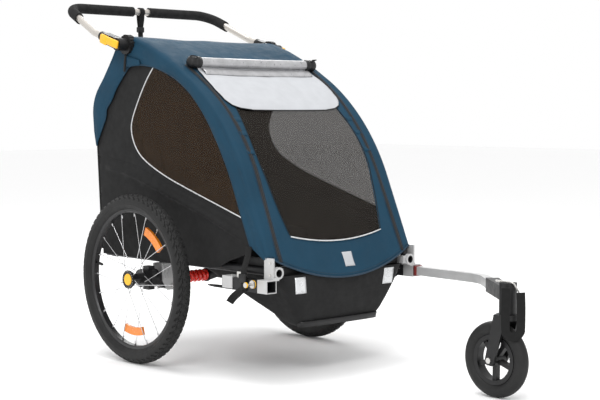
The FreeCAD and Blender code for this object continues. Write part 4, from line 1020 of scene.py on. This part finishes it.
for sign, side in ((-1, "right"), (1, "left")):
    body = f"wheel_{side}"
    lo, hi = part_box(f"tyre_{side}")
    centre = (lo + hi) / 2
    outer = (hi.z - lo.z) / 2
    small = (hi.y - lo.y) / 2
    verts, faces = tyre_mesh(centre, outer - small, small, 66, 64, 0.0032, 768)
    piece = add(f"tyre_tread_{side}", verts, faces, "tyre_rubber", "tyre_rubber", body, smooth=False)
    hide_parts(f"tyre_{side}")
    a = math.radians(170)
    radial = Vector((math.cos(a), 0, math.sin(a)))
    tube(f"valve_stem_{side}", [centre + radial * r for r in (0.200, 0.186, 0.184, 0.172, 0.166)],
         [0.0042, 0.0042, 0.0046, 0.0046, 0.0030], "plastic_black", "plastic_black", body)
    nipples = []
    for k in range(20):
        a = math.radians(18 * k)
        radial = Vector((math.cos(a), 0, math.sin(a)))
        y = centre.y + (-0.0006 if k % 2 == 0 else 0.0006)
        base_p = Vector((centre.x, y, centre.z))
        nipples.append(tube_mesh([base_p + radial * 0.1972, base_p + radial * 0.184], [0.0024, 0.0018], 8))
    add(f"spoke_nipples_{side}", *join_lists(nipples), "spoke_steel", "spoke_steel", body)
    rings = []
    for r0, y0 in ((0.0262, 0.3776), (0.0222, 0.3776)):
        ring = [Vector((centre.x + r0 * math.cos(t), sign * y0, centre.z + r0 * math.sin(t)))
                for t in np.linspace(0, 2 * math.pi, 48, endpoint=False)]
        rings.append(tube_mesh(ring, 0.0008, 6, closed=True))
    add(f"hub_rim_{side}", *join_lists(rings), "hub_black", "hub_black", body)
    dots = []
    for k in range(20):
        t = 2 * math.pi * k / 20
        c = Vector((centre.x + 0.0242 * math.cos(t), sign * 0.3771, centre.z + 0.0242 * math.sin(t)))
        dots.append(tube_mesh([c, c + Vector((0, sign * 0.0012, 0))], [0.0013, 0.0007], 8))
    add(f"spoke_heads_{side}", *join_lists(dots), "spoke_steel", "spoke_steel", body)

    # suspension spring between the yoke and the arm
    lo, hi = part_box(f"suspension_spring_{side}")
    y0, y1 = (hi.y, lo.y) if sign < 0 else (lo.y, hi.y)
    cx, cz = (lo.x + hi.x) / 2, (lo.z + hi.z) / 2
    turns, wire = 8, 0.0044
    coil = []
    for t in np.linspace(0, 1, 220):
        a = 2 * math.pi * turns * t
        lead = min(1, max(0, (t - 0.03) / 0.94))
        y = y0 + (y1 - y0) * (0.035 + 0.93 * (0.08 * t + 0.92 * lead))
        coil.append(Vector((cx + 0.0146 * math.cos(a), y, cz + 0.0146 * math.sin(a))))
    parts = [tube_mesh(coil, wire, 9)]
    core = [Vector((cx, y0 + (y1 - y0) * t, cz)) for t in np.linspace(0.005, 0.995, 16)]
    parts.append(tube_mesh(core, 0.0095, 20))
    for t in (0.012, 0.988):
        c = Vector((cx, y0 + (y1 - y0) * t, cz))
        c2 = Vector((cx, y0 + (y1 - y0) * (t + (0.03 if t < 0.5 else -0.03)), cz))
        parts.append(tube_mesh([c, c2], [0.0178, 0.0172], 28))
    verts, faces = join_lists(parts)
    spring = add(f"spring_coil_{side}", verts, faces, "spring_red", body=None)
    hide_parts(f"suspension_spring_{side}")
    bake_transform(spring)

    # yellow parts of the receiver pin
    lo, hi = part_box(f"receiver_pin_{side}")
    px, pz = (lo.x + hi.x) / 2, (lo.z + hi.z) / 2
    outer_y = lo.y if sign < 0 else hi.y
    pieces = []
    for y, r, t in ((outer_y + (-sign) * 0.0009, 0.0078, 0.0040), (-sign * 0.0277 + outer_y, 0.0114, 0.0050)):
        ring = [Vector((px, y, pz)), Vector((px, y - sign * t * 0.1, pz)),
                Vector((px, y - sign * t * 0.9, pz)),
                Vector((px, y - sign * t, pz))]
        pieces.append(tube_mesh(ring, [r * 0.85, r, r, r * 0.85], 28))
    add(f"pin_knobs_{side}", *join_lists(pieces), "yellow_plastic", "yellow_plastic", f"pin_{side}")

    # handlebar clamp lever: a rounded bar with a raised grip
    lo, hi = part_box(f"handlebar_lever_{side}")
    along = Vector((-0.082, 0, 0.025)).normalized()
    mid_y = (lo.y + hi.y) / 2
    root_p = P(-0.118, mid_y, 0.943)
    tip = root_p + along * 0.072
    v0, f0 = bar_between(root_p - along * 0.018, tip, (0.0120, 0.0044), 0.0040, 3)
    for p in v0:
        reach = (p - root_p).dot(along)
        p.y += sign * (0.0030 + 0.0040 * math.sin(max(0, reach) / 0.072 * math.pi))
        p.z += 0.0016 * math.cos(max(0, reach) / 0.072 * 2 * math.pi)
    grip0, grip1 = root_p + along * 0.036 + Vector((0, sign * 0.0052, 0)), root_p + along * 0.071
    v1, f1 = bar_between(grip0, grip1 + Vector((0, sign * 0.0030, 0)), (0.0145, 0.0040), 0.0038, 3)
    lever = add(f"lever_grip_{side}", *join_lists([(v0, f0), (v1, f1)]), "yellow_plastic", "yellow_plastic",
                f"lever_{side}")
    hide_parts(f"handlebar_lever_{side}")

    # strap round the receiver with its loose tail
    y = sign * 0.3084
    loop = smooth_line([P(0.437, sign * 0.2855, 0.372), P(0.439, sign * 0.2915, 0.345),
                        P(0.441, sign * 0.3045, 0.318),
                        P(0.442, y, 0.300), P(0.442, y, 0.270), P(0.441, y, 0.254)], 6)
    strap = ribbon_mesh(loop, Vector((1, 0, 0)), 0.024, 0.0022)
    tail = smooth_line([P(0.436, y, 0.256), P(0.420, y - sign * 0.0006, 0.246),
                        P(0.400, y + sign * 0.001, 0.232),
                        P(0.385, y + sign * 0.003, 0.216)], 6)
    strap2 = ribbon_mesh(tail, Vector((0.6, 0, 0.8)), 0.022, 0.0020)
    buckle = rounded_box(P(0.427, min(y, y + sign * 0.008), 0.276), P(0.456, max(y, y + sign * 0.008), 0.300),
                         0.003)
    webbing = add(f"corner_webbing_{side}", *join_lists([strap, strap2]), "webbing_black")
    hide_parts("webbing")
    add(f"corner_slider_{side}", *buckle, "plastic_black")

# --------------------------------------------------------------- front caster

lo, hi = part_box("front_tyre")
centre = (lo + hi) / 2
outer, small = (hi.z - lo.z) / 2, (hi.y - lo.y) / 2
rows = []
for i in range(240):
    th = 2 * math.pi * i / 240
    row = []
    for a in np.linspace(-math.radians(146), math.radians(146), 30):
        dip = 0.0012 if 14 < abs(math.degrees(a)) < 22 else 0
        dip -= 0.0007 if 88 < abs(math.degrees(a)) < 100 else 0
        r = small - dip
        radial = outer - small + r * math.cos(a)
        row.append(centre + Vector((radial * math.cos(th), r * math.sin(a), radial * math.sin(th))))
    rows.append(row)
caster_tyre = add("caster_tyre", *grid(rows, loop_v=True), "tyre_rubber", "tyre_rubber", "front_wheel")
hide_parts("front_tyre")

# soft safety strap: top held by the bracket, loop carried round by the fork
lo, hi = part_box("hitch_strap")
along = Vector((0.682, 0.731, 0))
normal = Vector((0.731, -0.682, 0))
top = P(1.092, 0.009, 0.295) + normal * 0.0025
line = [top + along * 0.000 + Vector((0, 0, 0))]
for u, z in ((0.000, -0.03), (-0.0005, -0.07), (0.000, -0.100)):
    line.append(top + along * u + Vector((0, 0, z)))
for a in np.linspace(180, 360, 9):
    a = math.radians(a)
    line.append(top + along * (0.020 + 0.0195 * math.cos(a)) + Vector((0, 0, -0.1065 + 0.0195 * math.sin(a))))
for u, z in ((0.0400, -0.075), (0.0398, -0.045), (0.0385, -0.012)):
    line.append(top + along * u + Vector((0, 0, z)))
verts, faces = ribbon_mesh(smooth_line(line, 4), normal, 0.0045, 0.022)
strap = add("safety_strap", verts, faces, "webbing_black", body=None, smooth=False)
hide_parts("hitch_strap")
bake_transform(strap)

# dark red bush where the arm leaves its receiver
lo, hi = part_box("corner_brackets")
mouth = hi.x
rows = []
for x, h in ((mouth + 0.0005, .0131), (mouth + 0.0005, .0150), (mouth + 0.0105, .0150),
             (mouth + 0.0115, .0140),
             (mouth + 0.0115, .0131)):
    row = []
    for a in np.linspace(0, 2 * math.pi, 40, endpoint=False):
        c, s = math.cos(a), math.sin(a)
        k = 1 / max(abs(c), abs(s))
        soft = 1 - 0.06 * (min(abs(c), abs(s)) * k) ** 6
        row.append(Vector((x, 0.290 + h * c * k * soft, 0.270 + h * s * k * soft)))
    rows.append(row)
add("arm_bush", *grid(rows, loop_u=True, loop_v=True), "dark_red", "spring_red")

# ------------------------------------------------------------------ handlebar

bar_x, bar_z = -0.441, 1.071
loop = []
for a in np.linspace(20, 340, 26):
    a = math.radians(a - 90)
    loop.append(P(bar_x + 0.0135 * math.cos(a), 0, bar_z + 0.0135 * math.sin(a)))
parts = [ribbon_mesh(loop, Vector((0, 1, 0)), 0.018, 0.0020)]
neck = P(bar_x - 0.001, 0, bar_z - 0.058)
for s in (-1, 1):
    side_line = smooth_line([P(bar_x + s * 0.0095, 0, bar_z - 0.0100),
                             P(bar_x + s * 0.0075, 0, bar_z - 0.028),
                             neck + Vector((s * 0.0015, 0, 0)), P(bar_x + s * 0.0010, 0, bar_z - 0.085)], 5)
    parts.append(ribbon_mesh(side_line, Vector((0, 1, 0)), 0.018, 0.0020))
tail = smooth_line([P(bar_x, 0, bar_z - 0.080), P(bar_x - 0.004, 0.001, bar_z - 0.120),
                    P(bar_x + 0.006, 0, bar_z - 0.165),
                    P(bar_x + 0.0085, 0, bar_z - 0.172)], 6)
parts.append(ribbon_mesh(tail, Vector((0, 1, 0)), 0.018, 0.0020))
wrist = add("wrist_loop", *join_lists(parts), "webbing_black", "webbing_black", "handlebar")
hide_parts("wrist_strap")
add("wrist_slider",
    *rounded_box(neck + Vector((-0.0060, -0.0125, -0.009)), neck + Vector((0.0060, 0.0125, 0.009)),
                                 0.0025), "plastic_black", "plastic_black", "handlebar")

# --------------------------------------------------------- floor, light, camera

bpy.ops.mesh.primitive_plane_add(size=40, location=(0, 0, 0))
ground = bpy.context.object
ground.name = "studio_floor"
floor_mat = bpy.data.materials.new("studio floor")
floor_mat.use_nodes = True
shader = floor_mat.node_tree.nodes["Principled BSDF"]
shader.inputs["Base Color"].default_value = (0.96, 0.96, 0.96, 1)
shader.inputs["Roughness"].default_value = 0.9
ground.data.materials.append(floor_mat)

world = bpy.data.worlds.new("studio")
bpy.context.scene.world = world
world.use_nodes = True
world.node_tree.nodes["Background"].inputs[0].default_value = (1, 1, 1, 1)
world.node_tree.nodes["Background"].inputs[1].default_value = 1.0
bpy.context.scene.view_settings.view_transform = "Standard"


def area_light(name, place, target, size, power):
    data = bpy.data.lights.new(name, "AREA")
    data.shape = "RECTANGLE"
    data.size, data.size_y = size
    data.energy = power
    obj = bpy.data.objects.new(name, data)
    bpy.context.scene.collection.objects.link(obj)
    obj.location = place
    obj.rotation_euler = (Vector(target) - Vector(place)).to_track_quat("-Z", "Y").to_euler()
    return obj


area_light("key_light", (2.6, -3.2, 3.6), (0, 0, 0.5), (1.6, 1.2), 80)
area_light("top_light", (-0.4, -0.4, 4.2), (0, 0, 0.4), (2.0, 2.0), 66)
area_light("rim_light", (-2.8, 2.2, 2.4), (0, 0, 0.6), (2.0, 1.4), 40)

cam_data = bpy.data.cameras.new("camera")
cam = bpy.data.objects.new("camera", cam_data)
bpy.context.scene.collection.objects.link(cam)
CAMERA_PLACE = P(3.254, -2.719, 0.741)
CAMERA_LENS = 81.8
yaw, pitch = math.radians(47.022), math.radians(3.698)
look = Vector((-math.sin(yaw) * math.cos(pitch), math.cos(yaw) * math.cos(pitch), -math.sin(pitch)))
right_v = Vector((math.cos(yaw), math.sin(yaw), 0))
up_v = right_v.cross(look)
cam.matrix_world = Matrix.Translation(CAMERA_PLACE) @ Matrix((right_v, up_v, -look)).transposed().to_4x4()
cam_data.sensor_width = 36
cam_data.lens = CAMERA_LENS
cam_data.clip_end = 100
bpy.context.scene.camera = cam
